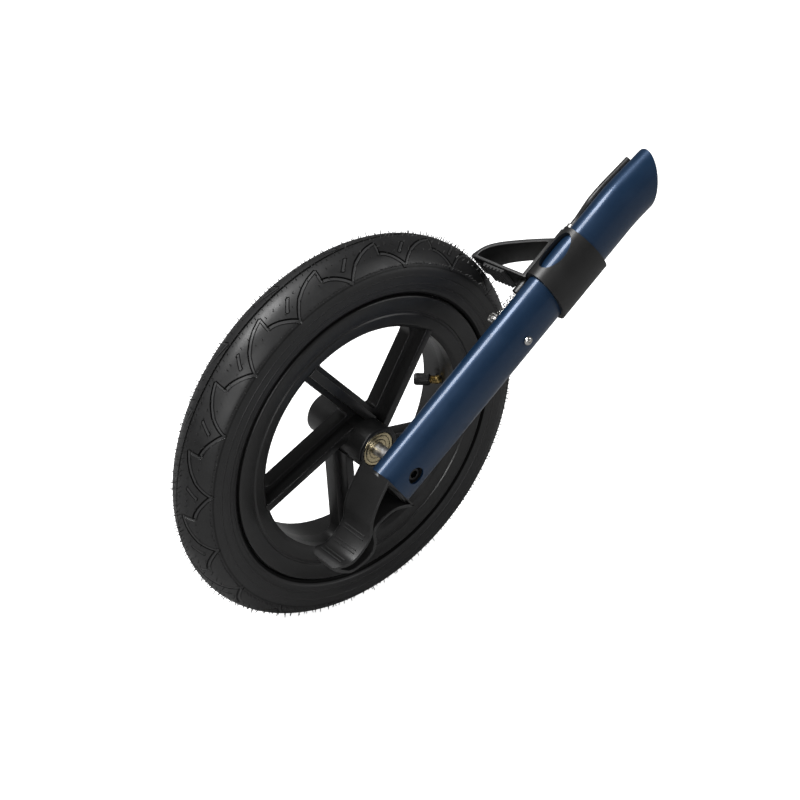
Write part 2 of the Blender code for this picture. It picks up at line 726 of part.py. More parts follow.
def make_ferrule(parent, finish):
    bore = CABLE_RADIUS + 0.0004
    floor = CABLE_START - BRAKE_RELEASE - GAP
    cup = [
        (WIRE_RADIUS + GAP, FERRULE_START),
        (0.0034, FERRULE_START),
        (0.0034, FERRULE_END),
        (bore, FERRULE_END),
        (bore, floor),
        (WIRE_RADIUS + GAP, floor),
    ]
    turned("cable_ferrule", cup, parent, finish, 16, along_x(CABLE_Y, CABLE_Z))


def curve_object(name, points, radius, rounding, parent, finish):
    data = bpy.data.curves.new(name, "CURVE")
    data.dimensions = "3D"
    data.bevel_depth = radius
    data.bevel_resolution = rounding
    data.use_fill_caps = True
    spline = data.splines.new("POLY")
    spline.points.add(len(points) - 1)
    for spot, point in zip(spline.points, points):
        spot.co = (*point, 1.0)
    return add_object(name, data, parent, finish)


def make_cables(leg, black, steel):
    """The housing beside the leg, and the bare wire from it down to the anchor."""
    straight = FERRULE_END + BRAKE_RELEASE
    points = [Vector((CABLE_START, CABLE_Y, CABLE_Z)), Vector((straight, CABLE_Y, CABLE_Z))]
    for k in range(1, 6):
        share = k / 5
        eased = share * share * (3 - 2 * share)
        y = CABLE_Y + (CABLE_HIGH_Y - CABLE_Y) * eased
        z = CABLE_Z + (CABLE_HIGH_Z - CABLE_Z) * eased
        points.append(Vector((straight + (BEND_START - straight) * share, y, z)))
    for x, z, slope in leg_stations()[2:]:
        points.append(Vector((x - CABLE_HIGH_Z * sin(slope), CABLE_HIGH_Y, z + CABLE_HIGH_Z * cos(slope))))
    last = points[-1]
    end_x, end_z = at_leg_end(last.x, last.z, -BEND_ANGLE)
    for share in (0.31, 0.62, 0.93):
        points.append(last + share * Vector((end_x - last.x, 0.0, end_z - last.z)))
    curve_object("cable_housing", points, CABLE_RADIUS, 2, leg, black)
    start = ANCHOR_AT + ANCHOR_RADIUS + 0.0004
    wire = [Vector((start, CABLE_Y, CABLE_Z)), Vector((CABLE_START - GAP, CABLE_Y, CABLE_Z))]
    curve_object("brake_wire", wire, WIRE_RADIUS, 2, leg, steel)


def make_spring(parent, finish):
    low = ANCHOR_AT + ANCHOR_RADIUS + SPRING_WIRE + GAP
    high = BLOCK_START - SPRING_WIRE - GAP
    steps = 8 * SPRING_TURNS
    points = []
    for k in range(steps + 1):
        turn = 2 * pi * k / 8
        rise = low + (high - low) * k / steps
        points.append(Vector((rise, CABLE_Y + SPRING_RADIUS * cos(turn), CABLE_Z + SPRING_RADIUS * sin(turn))))
    curve_object("return_spring", points, SPRING_WIRE, 1, parent, finish)


def make_all():
    clear_scene()
    near_y = LEG_OUTER_Y - SLEEVE_GAP - SLEEVE_WALL
    place = Vector(((TYRE_RADIUS - LEG_END_X) / 2, -(near_y + HUB_FAR_Y) / 2, TYRE_RADIUS))
    wheel = empty("wheel_axle", place)
    leg = empty("leg_frame", place, (0.0, -LEG_ANGLE, 0.0))

    rubber = material("tyre_rubber", (0.035, 0.036, 0.038), 0.75)
    tube_rubber = material("tube_rubber", (0.02, 0.02, 0.02), 0.6)
    plastic = material("black_plastic", (0.018, 0.018, 0.02), 0.45)
    pad_rubber = material("pad_rubber", (0.015, 0.015, 0.015), 0.7)
    paint = material("blue_paint", (0.01, 0.03, 0.09), 0.3, 0.6)
    steel = material("bright_steel", (0.6, 0.6, 0.6), 0.3, 1.0)
    black_steel = material("black_steel", (0.03, 0.03, 0.03), 0.4, 0.8)
    zinc = material("yellow_zinc", (0.72, 0.58, 0.25), 0.3, 1.0)
    brass = material("brass", (0.7, 0.5, 0.18), 0.35, 1.0)
    jacket = material("cable_jacket", (0.015, 0.015, 0.015), 0.5)

    make_tyre(wheel, rubber)
    make_inner_tube(wheel, tube_rubber)
    make_rim(wheel, plastic)
    make_valve(wheel, brass, plastic)
    make_bearing("near", NEAR_BEARING_Y, -1, wheel, wheel, steel, zinc)
    make_bearing("far", FAR_BEARING_Y, 1, wheel, wheel, steel, zinc)
    turned("hub_cap", [(0, CAP_Y), (BEARING_RADIUS, CAP_Y), (BEARING_RADIUS, CAP_Y + CAP_THICKNESS), (0, CAP_Y + CAP_THICKNESS)], wheel, plastic, 24)
    make_axle(wheel, steel, black_steel)
    make_leg(leg, paint)
    make_pedal(leg, plastic)
    make_anchor(leg, steel)
    make_carrier(leg, plastic)
    make_pad(leg, pad_rubber)
    make_ferrule(leg, steel)
    make_cables(leg, jacket, steel)
    make_spring(leg, steel)


make_all()
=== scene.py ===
# Looks of an air-tyred pushchair wheel on its leg: finishes, fine shapes, light and camera

from math import cos, degrees, pi, radians, sin, sqrt, tan

import bmesh
import bpy
import numpy as np
from mathutils import Matrix, Vector


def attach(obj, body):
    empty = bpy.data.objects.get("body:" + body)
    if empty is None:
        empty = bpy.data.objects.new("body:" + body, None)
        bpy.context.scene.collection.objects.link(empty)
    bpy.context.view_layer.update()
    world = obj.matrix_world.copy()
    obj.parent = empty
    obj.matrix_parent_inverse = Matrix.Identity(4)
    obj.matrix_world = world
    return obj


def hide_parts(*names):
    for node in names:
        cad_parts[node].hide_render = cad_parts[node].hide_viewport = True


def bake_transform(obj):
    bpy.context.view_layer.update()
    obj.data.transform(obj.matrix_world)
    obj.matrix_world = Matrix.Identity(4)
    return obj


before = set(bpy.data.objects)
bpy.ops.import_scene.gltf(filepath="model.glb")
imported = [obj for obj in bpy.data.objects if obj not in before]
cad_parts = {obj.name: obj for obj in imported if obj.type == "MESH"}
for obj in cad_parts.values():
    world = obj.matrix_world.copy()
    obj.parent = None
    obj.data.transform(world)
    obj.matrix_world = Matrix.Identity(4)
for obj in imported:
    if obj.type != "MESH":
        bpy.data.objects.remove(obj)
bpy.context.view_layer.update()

axleAt = Vector((-0.0355, 0.02745, 0.149))
legAngle = radians(35.2)
wheelFrame = Matrix.Translation(axleAt)
legFrame = wheelFrame @ Matrix.Rotation(-legAngle, 4, "Y")


# Shader sockets with arithmetic

# A shader socket that can be added, multiplied and so on
class Value:
    def __init__(self, tree, socket):
        self.tree = tree
        self.socket = socket

    def node(self, kind, settings=None, **inputs):
        made = self.tree.nodes.new(kind)
        for key, value in (settings or {}).items():
            setattr(made, key, value)
        for key, value in inputs.items():
            place = int(key[1:]) if key[0] == "i" and key[1:].isdigit() else key.replace("_", " ")
            target = made.inputs[place]
            if isinstance(value, Value):
                self.tree.links.new(value.socket, target)
            else:
                target.default_value = value
        return made

    def math(self, operation, *others, clamp=False):
        values = {f"i{k}": v for k, v in enumerate((self, *others))}
        made = self.node("ShaderNodeMath", {"operation": operation, "use_clamp": clamp}, **values)
        return Value(self.tree, made.outputs[0])

    def __add__(self, other):
        return self.math("ADD", other)

    __radd__ = __add__

    def __mul__(self, other):
        return self.math("MULTIPLY", other)

    __rmul__ = __mul__

    def __sub__(self, other):
        return self.math("SUBTRACT", other)

    def __rsub__(self, other):
        return (self * -1.0) + other

    def __truediv__(self, other):
        return self.math("DIVIDE", other)

    def power(self, other):
        return self.math("POWER", other)

    def least(self, other):
        return self.math("MINIMUM", other)

    def most(self, other):
        return self.math("MAXIMUM", other)

    def size(self):
        return self.math("ABSOLUTE")

    # 1 where this is near 0, falling to 0 between low and high
    def line(self, low, high):
        return self.size().span(low, high, 1.0, 0.0)

    # Maps low..high to start..end, smoothly and clamped
    def span(self, low, high, start=0.0, end=1.0):
        made = self.node(
            "ShaderNodeMapRange", {
                "interpolation_type": "SMOOTHSTEP"
            }, i0=self, i1=low, i2=high, i3=start, i4=end
        )
        return Value(self.tree, made.outputs[0])

    # low where this is 0 and high where it is 1, as colours
    def blend(self, low, high):
        made = self.tree.nodes.new("ShaderNodeMix")
        made.data_type = "RGBA"
        self.tree.links.new(self.socket, made.inputs[0])
        for place, value in ((6, low), (7, high)):
            if isinstance(value, Value):
                self.tree.links.new(value.socket, made.inputs[place])
            else:
                made.inputs[place].default_value = (*value, 1.0)
        return Value(self.tree, made.outputs[2])


# A material with one Principled shader, and the sockets it is usually built from
class Paint:
    def __init__(self, name, colour, roughness, metallic=0.0, coat=0.0):
        self.material = bpy.data.materials.new(name)
        self.material.use_nodes = True
        self.tree = self.material.node_tree
        self.shader = self.tree.nodes["Principled BSDF"]
        self.shader.inputs["Base Color"].default_value = (*colour, 1.0)
        self.shader.inputs["Roughness"].default_value = roughness
        self.shader.inputs["Metallic"].default_value = metallic
        self.shader.inputs["Coat Weight"].default_value = coat
        self.bumps = None
        coordinates = self.tree.nodes.new("ShaderNodeTexCoord")
        self.place = Value(self.tree, coordinates.outputs["Object"])

    def axes(self):
        made = self.place.node("ShaderNodeSeparateXYZ", Vector=self.place)
        return [Value(self.tree, output) for output in made.outputs]

    def noise(self, scale, detail=3.0, roughness=0.55):
        made = self.place.node(
            "ShaderNodeTexNoise", Vector=self.place, Scale=scale, Detail=detail, Roughness=roughness
        )
        return Value(self.tree, made.outputs[0])

    # Noise drawn out along an axis
    def stretched(self, scales, scale, detail=2.0):
        mapped = self.place.node("ShaderNodeMapping", Vector=self.place, Scale=scales)
        made = self.place.node(
            "ShaderNodeTexNoise", Vector=Value(self.tree, mapped.outputs[0]), Scale=scale, Detail=detail
        )
        return Value(self.tree, made.outputs[0])

    def put(self, name, value):
        self.tree.links.new(value.socket, self.shader.inputs[name])

    # Adds relief: height from 0 to 1, distance in metres
    def bump(self, height, distance, strength=1.0):
        made = self.tree.nodes.new("ShaderNodeBump")
        made.inputs["Strength"].default_value = strength
        made.inputs["Distance"].default_value = distance
        self.tree.links.new(height.socket, made.inputs["Height"])
        if self.bumps:
            self.tree.links.new(self.bumps, made.inputs["Normal"])
        self.bumps = made.outputs[0]
        self.tree.links.new(self.bumps, self.shader.inputs["Normal"])


# Satin black plastic with a fine spark-eroded grain, scuffs and a little dust
def moulded(name, level=0.009, roughness=0.4, grain=0.00012):
    paint = Paint(name, (level,) * 3, roughness)
    cloud = paint.noise(24.0, 4.0)
    dust = paint.noise(160.0, 5.0, 0.7).span(0.56, 0.78)
    paint.put(
        "Base Color",
        (cloud * 0.7 + dust * 0.25).blend((level * 0.82,) * 3, (level * 1.5, level * 1.5, level * 1.52)),
    )
    paint.put("Roughness", cloud.span(0.3, 0.75, roughness - 0.05, roughness + 0.1) + dust * 0.05)
    paint.bump(paint.noise(1900.0, 2.0), grain, 0.35)
    paint.bump(paint.noise(90.0, 2.0), 0.0003, 0.08)
    return paint


# Plated steel with turning marks and slight tarnish
def steelPaint(name, colour=(0.62, 0.61, 0.59), roughness=0.28):
    paint = Paint(name, colour, roughness, 1.0)
    tarnish = paint.noise(220.0, 4.0)
    darker = tuple(c * 0.72 for c in colour)
    paint.put("Base Color", tarnish.span(0.35, 0.7).blend(darker, colour))
    paint.put("Roughness", tarnish.span(0.3, 0.7, roughness - 0.06, roughness + 0.12))
    paint.bump(paint.stretched((1.0, 14.0, 1.0), 700.0), 0.00004, 0.4)
    return paint


# Dark blue metallic paint under a clear coat, with fine flake
def bluePaint(name):
    paint = Paint(name, (0.006, 0.03, 0.08), 0.4, 0.45, 0.35)
    flake = paint.noise(5200.0, 1.0)
    cloud = paint.noise(12.0, 2.0)
    shade = (flake.span(0.4, 0.72) * 0.6 + cloud * 0.3)
    paint.put("Base Color", shade.blend((0.005, 0.023, 0.062), (0.011, 0.045, 0.105)))
    paint.put("Roughness", paint.noise(60.0, 3.0).span(0.3, 0.7, 0.36, 0.46))
    paint.shader.inputs["Coat Roughness"].default_value = 0.12
    paint.bump(paint.noise(420.0, 2.0), 0.00005, 0.12)
    return paint


# Mesh helpers

def addMesh(name, bm, paint, place, sharp=35.0):
    bmesh.ops.recalc_face_normals(bm, faces=bm.faces)
    if bm.calc_volume(signed=True) < 0:
        bmesh.ops.reverse_faces(bm, faces=bm.faces)
    data = bpy.data.meshes.new(name)
    bm.to_mesh(data)
    bm.free()
    data.shade_smooth()
    data.set_sharp_from_angle(angle=radians(sharp))
    made = bpy.data.objects.new(name, data)
    bpy.context.scene.collection.objects.link(made)
    made.matrix_world = place
    if paint:
        data.materials.append(paint.material)
    return made


def rings(bm, loops, joined=False, capped=True):
    made = [[bm.verts.new(point) for point in loop] for loop in loops]
    pairs = list(zip(made, made[1:]))
    if joined:
        pairs.append((made[-1], made[0]))
    for low, high in pairs:
        for k in range(max(len(low), len(high))):
            corners = [
                low[k % len(low)], low[(k + 1) % len(low)], high[(k + 1) % len(high)], high[k % len(high)]
            ]
            bm.faces.new(dict.fromkeys(corners))
    if capped and not joined:
        for loop in (made[0], made[-1]):
            if len(loop) > 2:
                bm.faces.new(loop)


# Adds a turned solid from (radius, along) points round Y
def turnedInto(bm, profile, count, place=None):
    place = place or Matrix.Identity(4)
    loops = []
    for radius, along in profile:
        steps = count if radius > 0 else 1
        turns = (2 * pi * k / steps for k in range(steps))
        loops.append([place @ Vector((radius * cos(t), along, radius * sin(t))) for t in turns])
    rings(bm, loops, all(radius > 0 for radius, _ in profile))


def turned(name, profile, paint, place, count=96, local=None, sharp=35.0):
    bm = bmesh.new()
    turnedInto(bm, profile, count, local)
    return addMesh(name, bm, paint, place, sharp)


# A profile with its corners rounded
def rounded(profile, radius, steps=4, closed=True):
    line = []
    count = len(profile)
    for k, corner in enumerate(profile):
        here = Vector(corner[:2])
        if not closed and k in (0, count - 1):
            line.append(tuple(here))
            continue
        before = Vector(profile[k - 1][:2]) - here
        after = Vector(profile[(k + 1) % count][:2]) - here
        reach = corner[2] if len(corner) > 2 else radius
        if reach <= 0 or before.length < 1e-7 or after.length < 1e-7:
            line.append(tuple(here))
            continue
        half = before.angle(after) / 2
        if half > radians(84):
            line.append(tuple(here))
            continue
        run = min(reach / tan(half), before.length * 0.48, after.length * 0.48)
        bend = run * tan(half)
        start = here + before.normalized() * run
        end = here + after.normalized() * run
        centre = here + (before.normalized() + after.normalized()).normalized() * (bend / sin(half))
        one = start - centre
        two = end - centre
        sweep = one.angle_signed(two)
        for step in range(steps + 1):
            turn = -sweep * step / steps
            line.append(
                tuple(
                    centre + Vector(
                        (one.x * cos(turn) - one.y * sin(turn), one.x * sin(turn) + one.y * cos(turn))
                    )
                )
            )
    return line


# A flat plate with holes and rounded edges: (x, z) outlines for axis y, (x, y) for axis z
def plate(name, outlines, low, high, edge, paint, place, axis="y", bevelSteps=2):
    data = bpy.data.curves.new(name, "CURVE")
    data.dimensions = "2D"
    data.fill_mode = "BOTH"
    data.extrude = (high - low) / 2 - edge
    data.bevel_depth = edge
    data.bevel_resolution = bevelSteps
    data.offset = -edge
    for outline in outlines:
        spline = data.splines.new("POLY")
        spline.points.add(len(outline) - 1)
        spline.use_cyclic_u = True
        for spot, point in zip(spline.points, outline):
            spot.co = (point[0], point[1], 0.0, 1.0)
    holder = bpy.data.objects.new(name + "Curve", data)
    bpy.context.scene.collection.objects.link(holder)
    bpy.context.view_layer.update()
    mesh = bpy.data.meshes.new_from_object(holder.evaluated_get(bpy.context.evaluated_depsgraph_get()))
    bpy.data.objects.remove(holder)
    middle = (low + high) / 2
    if axis == "y":
        turn = Matrix(((1, 0, 0, 0), (0, 0, -1, middle), (0, 1, 0, 0), (0, 0, 0, 1)))
    else:
        turn = Matrix.Translation((0, 0, middle))
    mesh.transform(turn)
    bm = bmesh.new()
    bm.from_mesh(mesh)
    bmesh.ops.remove_doubles(bm, verts=bm.verts, dist=0.000002)
    bpy.data.meshes.remove(mesh)
    return addMesh(name, bm, paint, place, 32.0)


# Joins other objects into target, keeping their materials
def joinInto(target, others):
    bpy.ops.object.select_all(action="DESELECT")
    for obj in (target, *others):
        obj.select_set(True)
    bpy.context.view_layer.objects.active = target
    bpy.ops.object.join()
    return target


# Applies a Boolean at once and removes the other object
def cutBy(target, other, operation="DIFFERENCE"):
    modifier = target.modifiers.new("cut", "BOOLEAN")
    modifier.operation = operation
    modifier.object = other
    modifier.solver = "EXACT"
    bpy.context.view_layer.update()
    made = bpy.data.meshes.new_from_object(target.evaluated_get(bpy.context.evaluated_depsgraph_get()))
    target.modifiers.clear()
    old = target.data
    target.data = made
    bpy.data.meshes.remove(old)
    bpy.data.objects.remove(other)
    made.shade_smooth()
    made.set_sharp_from_angle(angle=radians(32))
    return target


def smoothLine(points, steps):
    ends = [points[0]] + list(points) + [points[-1]]
    line = []
    for a, b, c, d in zip(ends, ends[1:], ends[2:], ends[3:]):
        for k in range(steps):
            t = k / steps
            weights = (-t + 2 * t**2 - t**3, 2 - 5 * t**2 + 3 * t**3, t + 4 * t**2 - 3 * t**3, t**3 - t**2)
            line.append(
                tuple(sum(w * p[i] for w, p in zip(weights, (a, b, c, d))) / 2 for i in range(len(a)))
            )
    return line + [points[-1]]


def movedIn(line, distance):
    moved = []
    for k, (x, z) in enumerate(line):
        ahead = line[min(k + 1, len(line) - 1)]
        behind = line[max(k - 1, 0)]
        run = Vector((ahead[0] - behind[0], ahead[1] - behind[1])).normalized()
        moved.append((x - distance * run.y, z + distance * run.x))
    return moved


# A round tube along points, as a mesh
def pipe(name, points, radius, paint, place, sides=12):
    bm = bmesh.new()
    loops = []
    up = Vector((0.13, 0.97, 0.21))
    for k, point in enumerate(points):
        run = (Vector(points[min(k + 1, len(points) - 1)]) - Vector(points[max(k - 1, 0)])).normalized()
        side = run.cross(up).normalized()
        other = side.cross(run)
        reach = radius[k] if isinstance(radius, (list, tuple)) else radius
        turns = (2 * pi * s / sides for s in range(sides))
        loops.append([Vector(point) + side * reach * cos(t) + other * reach * sin(t) for t in turns])
    rings(bm, loops)
    return addMesh(name, bm, paint, place, 50.0)


plastic = moulded("mouldedBlack")
rimPlastic = moulded("rimPlastic", 0.0085, 0.33)
pedalPlastic = moulded("pedalPlastic", 0.011, 0.42)
steel = steelPaint("platedSteel")
print("helpers ready")


# Tyre

tyreSizes = {
    "radius": 0.149,
    "repeats": 18,
    "firstShoulder": 114.8,
    "rollRadius": 146.0,
    "grooveDepth": 0.0013,
    "centreGroove": 0.0014,
    "runUp": (
        (0.0, 20.6), (0.05, 18.3), (0.1, 16.3), (0.19, 12.9), (0.24, 11.7), (0.33, 9.4),
        (0.46, 6.8), (0.56, 5.4), (0.64, 4.4), (1.0, 4.4),
    ),
    "runBack": (
        (0.0, 12.6), (0.6, 12.6), (0.64, 12.7), (0.7, 13.4), (0.78, 14.9), (0.84, 16.3),
        (0.93, 18.6), (1.0, 20.6),
    ),
}


# Outer half profile, from the bead up to the crown, as (radius, y)
def tyreOuter():
    return [
        (0.1126, 0.0177),
        (0.1130, 0.0196),
        (0.1146, 0.0209),
        (0.1166, 0.0213),
        (0.1176, 0.0219),
        (0.1200, 0.0222),
        (0.1262, 0.0225),
        (0.1312, 0.0219),
        (0.1338, 0.0211),
        (0.1356, 0.0204),
        (0.1372, 0.0198),
        (0.1402, 0.0173),
        (0.1430, 0.0144),
        (0.1456, 0.0108),
        (0.1474, 0.0074),
        (0.1486, 0.0036),
        (0.1490, 0.0),
    ]


# Millimetres from the crown to one run of the groove, by its place in a repeat
def zigzag(paint, phase, points):
    curve = paint.place.node("ShaderNodeFloatCurve", Value=phase)
    line = curve.mapping.curves[0]
    while len(line.points) < len(points):
        line.points.new(0.5, 0.5)
    for spot, (along, across) in zip(line.points, points):
        spot.location = (along, across / 25.0)
        spot.handle_type = "VECTOR"
    curve.mapping.update()
    return Value(paint.tree, curve.outputs[0]) * 25.0


# Rubber whose zigzag grooves, slots and sidewall lines are worked out round the axle, in millimetres; the
# groove, slot and bead edges carry painted shade and the groove floors a painted highlight
def tyrePaint():
    paint = Paint("tyreRubber", (0.009, 0.009, 0.0095), 0.5)
    x, y, z = paint.axes()
    turn = z.math("ARCTAN2", x) * degrees(1.0)
    radius = (x * x + z * z).power(0.5)
    across = y.size() * 1000.0
    sides = tyreSizes
    pitch = 360.0 / sides["repeats"]
    shift = (y.math("SIGN") * 0.25 + 0.25) * pitch
    phase = ((sides["firstShoulder"] + 720.0 - turn + shift) / pitch).math("FRACT")
    repeatLength = pitch * radians(1.0) * sides["rollRadius"]
    up = across - zigzag(paint, phase, sides["runUp"])
    back = across - zigzag(paint, phase, sides["runBack"])
    step = (phase - 0.628 + (across - 4.4) * 0.0035) * repeatLength
    onUp = phase.span(0.628, 0.64, 1.0, 0.0)
    onBack = phase.span(0.6, 0.615)
    onStep = across.span(3.8, 4.6) * across.span(12.6, 13.4, 1.0, 0.0)
    channel = (up.line(0.7, 1.3) * onUp).most(back.line(0.7, 1.3) * onBack).most(step.line(0.7, 1.3) * onStep)
    crownUp = (up + 1.15).line(0.3, 0.8) * onUp
    crownBack = (back + 1.15).line(0.3, 0.8) * onBack
    crownEdge = crownUp.most(crownBack).most((step - 1.1).line(0.2, 0.7) * onStep)
    rimEdge = ((up - 1.2).line(0.1, 0.5) * onUp).most((back - 1.2).line(0.1, 0.5) * onBack)
    far = ((phase + 0.5).math("FRACT") - 0.5) * repeatLength
    slantAt = (across - 10.7).most(-2.6).least(2.6)
    slotSide = (far - 1.1 + slantAt * 1.2).size() * 0.66
    slotEnd = ((across - 10.7).size() - 2.6).most(0.0)
    slotAway = (slotSide * slotSide + slotEnd * slotEnd).power(0.5)
    slot = slotAway.span(0.7, 1.2, 1.0, 0.0)
    slotRing = (slotAway - 1.05).line(0.1, 0.5)
    centre = (y * 1000.0 - sides["centreGroove"] * 1000.0).line(0.5, 0.95)
    onTread = across.span(21.2, 20.6) * radius.span(0.1335, 0.1345)
    # Dark line along the shoulder edge: painted shade
    shoulder = (radius - 0.1345).line(0.0003, 0.0009)
    sunk = channel.most(slot).most(centre) * onTread
    # Dark edges of the grooves and slots and the dark centre groove: painted shade where the channel walls
    # fall into shadow
    grooveShade = crownEdge.most(rimEdge * 0.7).most(slotRing * 0.8).most(centre) * onTread
    # Dark line where the tyre bead meets the rim: painted shade in the gap
    bead = (radius - 0.1142).line(0.0008, 0.0017)
    bands = (radius - 0.1215).line(0.0004, 0.0009).most((radius - 0.1282).line(0.0002, 0.0006) * 0.5)
    cloud = paint.noise(30.0, 4.0)
    dust = paint.noise(140.0, 5.0, 0.7).span(0.5, 0.8)
    base = (cloud * 0.6 + dust * 0.35).blend((0.008, 0.008, 0.0083), (0.019, 0.019, 0.0195))
    # Groove floors painted lighter: a painted highlight on the channel floor
    grooveFloorHighlight = (sunk * 0.6).blend(base, (0.04, 0.04, 0.041))
    # All the painted shade together, near black; Metallic on it takes away the sheen so it stays dark
    paintedShade = grooveShade.most(bead).most(shoulder * 0.4)
    paint.put("Base Color", paintedShade.blend(grooveFloorHighlight, (0.002, 0.002, 0.002)))
    paint.put("Metallic", paintedShade * 0.92)
    paint.put("Roughness", cloud.span(0.3, 0.7, 0.36, 0.52) + dust * 0.08)
    paint.bump(1.0 - sunk, sides["grooveDepth"] * 2.0, 1.0)
    paint.bump(bands, 0.0006, 0.9)
    paint.bump(paint.noise(800.0, 3.0), 0.00016, 0.3)
    return paint


def makeTyre():
    outer = smoothLine(tyreOuter(), 3)
    inner = [
        (0.1457, 0.0), (0.144, 0.007), (0.1392, 0.0126), (0.1335, 0.017), (0.127, 0.0192),
        (0.119, 0.019), (0.1112, 0.0139), (0.1021, 0.0118),
    ]
    bead = [(0.1021, 0.0172)]
    half = bead + outer[:-1]
    profile = half + [outer[-1]] + [(r, -y) for r, y in reversed(half)]
    innerHalf = inner[1:]
    profile += [(r, -y) for r, y in reversed(innerHalf)] + [inner[0]] + innerHalf
    tyre = turned("tyreShown", profile, tyrePaint(), wheelFrame, 360, sharp=40.0)
    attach(tyre, "wheel")
    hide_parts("tyre")
    return tyre


# Moulding whiskers left on the shoulders and along the edges of the tread
def makeHairs():
    paint = Paint("whiskerRubber", (0.02, 0.02, 0.02), 0.6)
    paint.bump(paint.noise(900.0), 0.0001, 0.3)
    rng = np.random.default_rng(7)
    rows = [
        {"radius": 0.1364, "y": 0.0202, "lean": 0.75, "step": 1.5},
        {"radius": 0.1474, "y": 0.0078, "lean": 0.15, "step": 2.6},
        {"radius": 0.1437, "y": 0.0134, "lean": 0.4, "step": 2.9},
        {"radius": 0.1489, "y": 0.0016, "lean": 0.0, "step": 1.7},
    ]
    bm = bmesh.new()
    for row in rows:
        for side in (-1, 1):
            turn = rng.uniform(0, row["step"])
            while turn < 360:
                angle = radians(turn)
                out = Vector((cos(angle), 0, sin(angle)))
                tip = (out * cos(row["lean"]) + Vector((0, side, 0)) * sin(row["lean"]))
                tip = (tip + Vector(rng.normal(0, 0.22, 3))).normalized()
                start = out * (row["radius"] - 0.0006) + Vector((0, side * (row["y"] - 0.0003), 0))
                length = rng.uniform(0.0014, 0.0034)
                bend = Vector(rng.normal(0, 0.25, 3))
                sideways = tip.orthogonal().normalized()
                other = tip.cross(sideways)
                loops = []
                for k in range(4):
                    middle = start + tip * length * k / 3 + bend * length * (k / 3) ** 2 * 0.5
                    reach = 0.0004 * (1 - 0.25 * k / 3)
                    loops.append(
                        [middle + (sideways * cos(t) + other * sin(t)) * reach for t in (0, 2.09, 4.19)]
                    )
                rings(bm, loops)
                turn += row["step"] * rng.uniform(0.7, 1.35)
    hairs = addMesh("tyreWhiskers", bm, paint, wheelFrame, 80.0)
    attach(hairs, "wheel")


makeTyre()
makeHairs()
print("tyre ready")


# Wheel

rimSizes = {
    "bore": 0.087,
    "spokes": 5,
    "firstSpoke": 58.5,
    "beamNear": 0.0072,
    "beamFar": 0.0218,
    "ribNear": 0.0114,
    "ribFar": 0.0178,
    "rimFillet": 0.009,
    "hubFillet": 0.0022,
    "farY": -0.0004,
    "ledgeY": -0.0114,
    "faceY": -0.0206,
}


# Direction of a spoke and the clockwise normal it is offset along
def spokeAxes(index):
    angle = radians(rimSizes["firstSpoke"] + index * 360.0 / rimSizes["spokes"])
    return Vector((cos(angle), sin(angle))), Vector((sin(angle), -cos(angle)))


# Where the lines p.n = offset cross, for two unit normals
def crossing(one, offsetOne, two, offsetTwo):
    spread = one.x * two.y - one.y * two.x
    return Vector(
        ((offsetOne * two.y - offsetTwo * one.y) / spread, (one.x * offsetTwo - two.x * offsetOne) / spread)
    )


# One window at the beams' level: two beam sides and an arc of the bore
def windowOutline(index):
    sizes = rimSizes
    bore = sizes["bore"]
    runA, normalA = spokeAxes(index)
    runB, normalB = spokeAxes(index + 1)
    inner = crossing(normalA, sizes["beamNear"], normalB, sizes["beamFar"])
    endA = normalA * sizes["beamNear"] + runA * sqrt(bore**2 - sizes["beamNear"] ** 2)
    endB = normalB * sizes["beamFar"] + runB * sqrt(bore**2 - sizes["beamFar"] ** 2)
    start = np.arctan2(endA.y, endA.x)
    stop = np.arctan2(endB.y, endB.x)
    if stop < start:
        stop += 2 * pi
    arc = [(bore * cos(t), bore * sin(t), 0.0) for t in np.linspace(start, stop, 25)[1:-1]]
    fillet = sizes["rimFillet"]
    keep = [
        p for p in arc if min((Vector(p[:2]) - endA).length, (Vector(p[:2]) - endB).length) > fillet * 0.95
    ]
    corners = [(inner.x, inner.y, sizes["hubFillet"]), (endA.x, endA.y, fillet)] + keep + [
        (endB.x, endB.y, fillet)
    ]
    return roundedFar(corners)


# Rounds corners whose fillets may take most of a short neighbouring edge
def roundedFar(corners):
    line = []
    count = len(corners)
    for k, (x, z, reach) in enumerate(corners):
        here = Vector((x, z))
        if reach <= 0:
            line.append((x, z))
            continue
        before = Vector(corners[k - 1][:2]) - here
        after = Vector(corners[(k + 1) % count][:2]) - here
        half = before.angle(after) / 2
        run = min(reach / tan(half), before.length * 0.9, after.length * 0.9)
        bend = run * tan(half)
        start = here + before.normalized() * run
        end = here + after.normalized() * run
        centre = here + (before.normalized() + after.normalized()).normalized() * (bend / sin(half))
        one = start - centre
        sweep = -one.angle_signed(end - centre)
        for step in range(9):
            turn = sweep * step / 8
            line.append(
                (
                    centre.x + one.x * cos(turn) - one.y * sin(turn),
                    centre.y + one.x * sin(turn) + one.y * cos(turn),
                )
            )
    return line


def circle(radius, count=180):
    return [(radius * cos(2 * pi * k / count), radius * sin(2 * pi * k / count)) for k in range(count)]


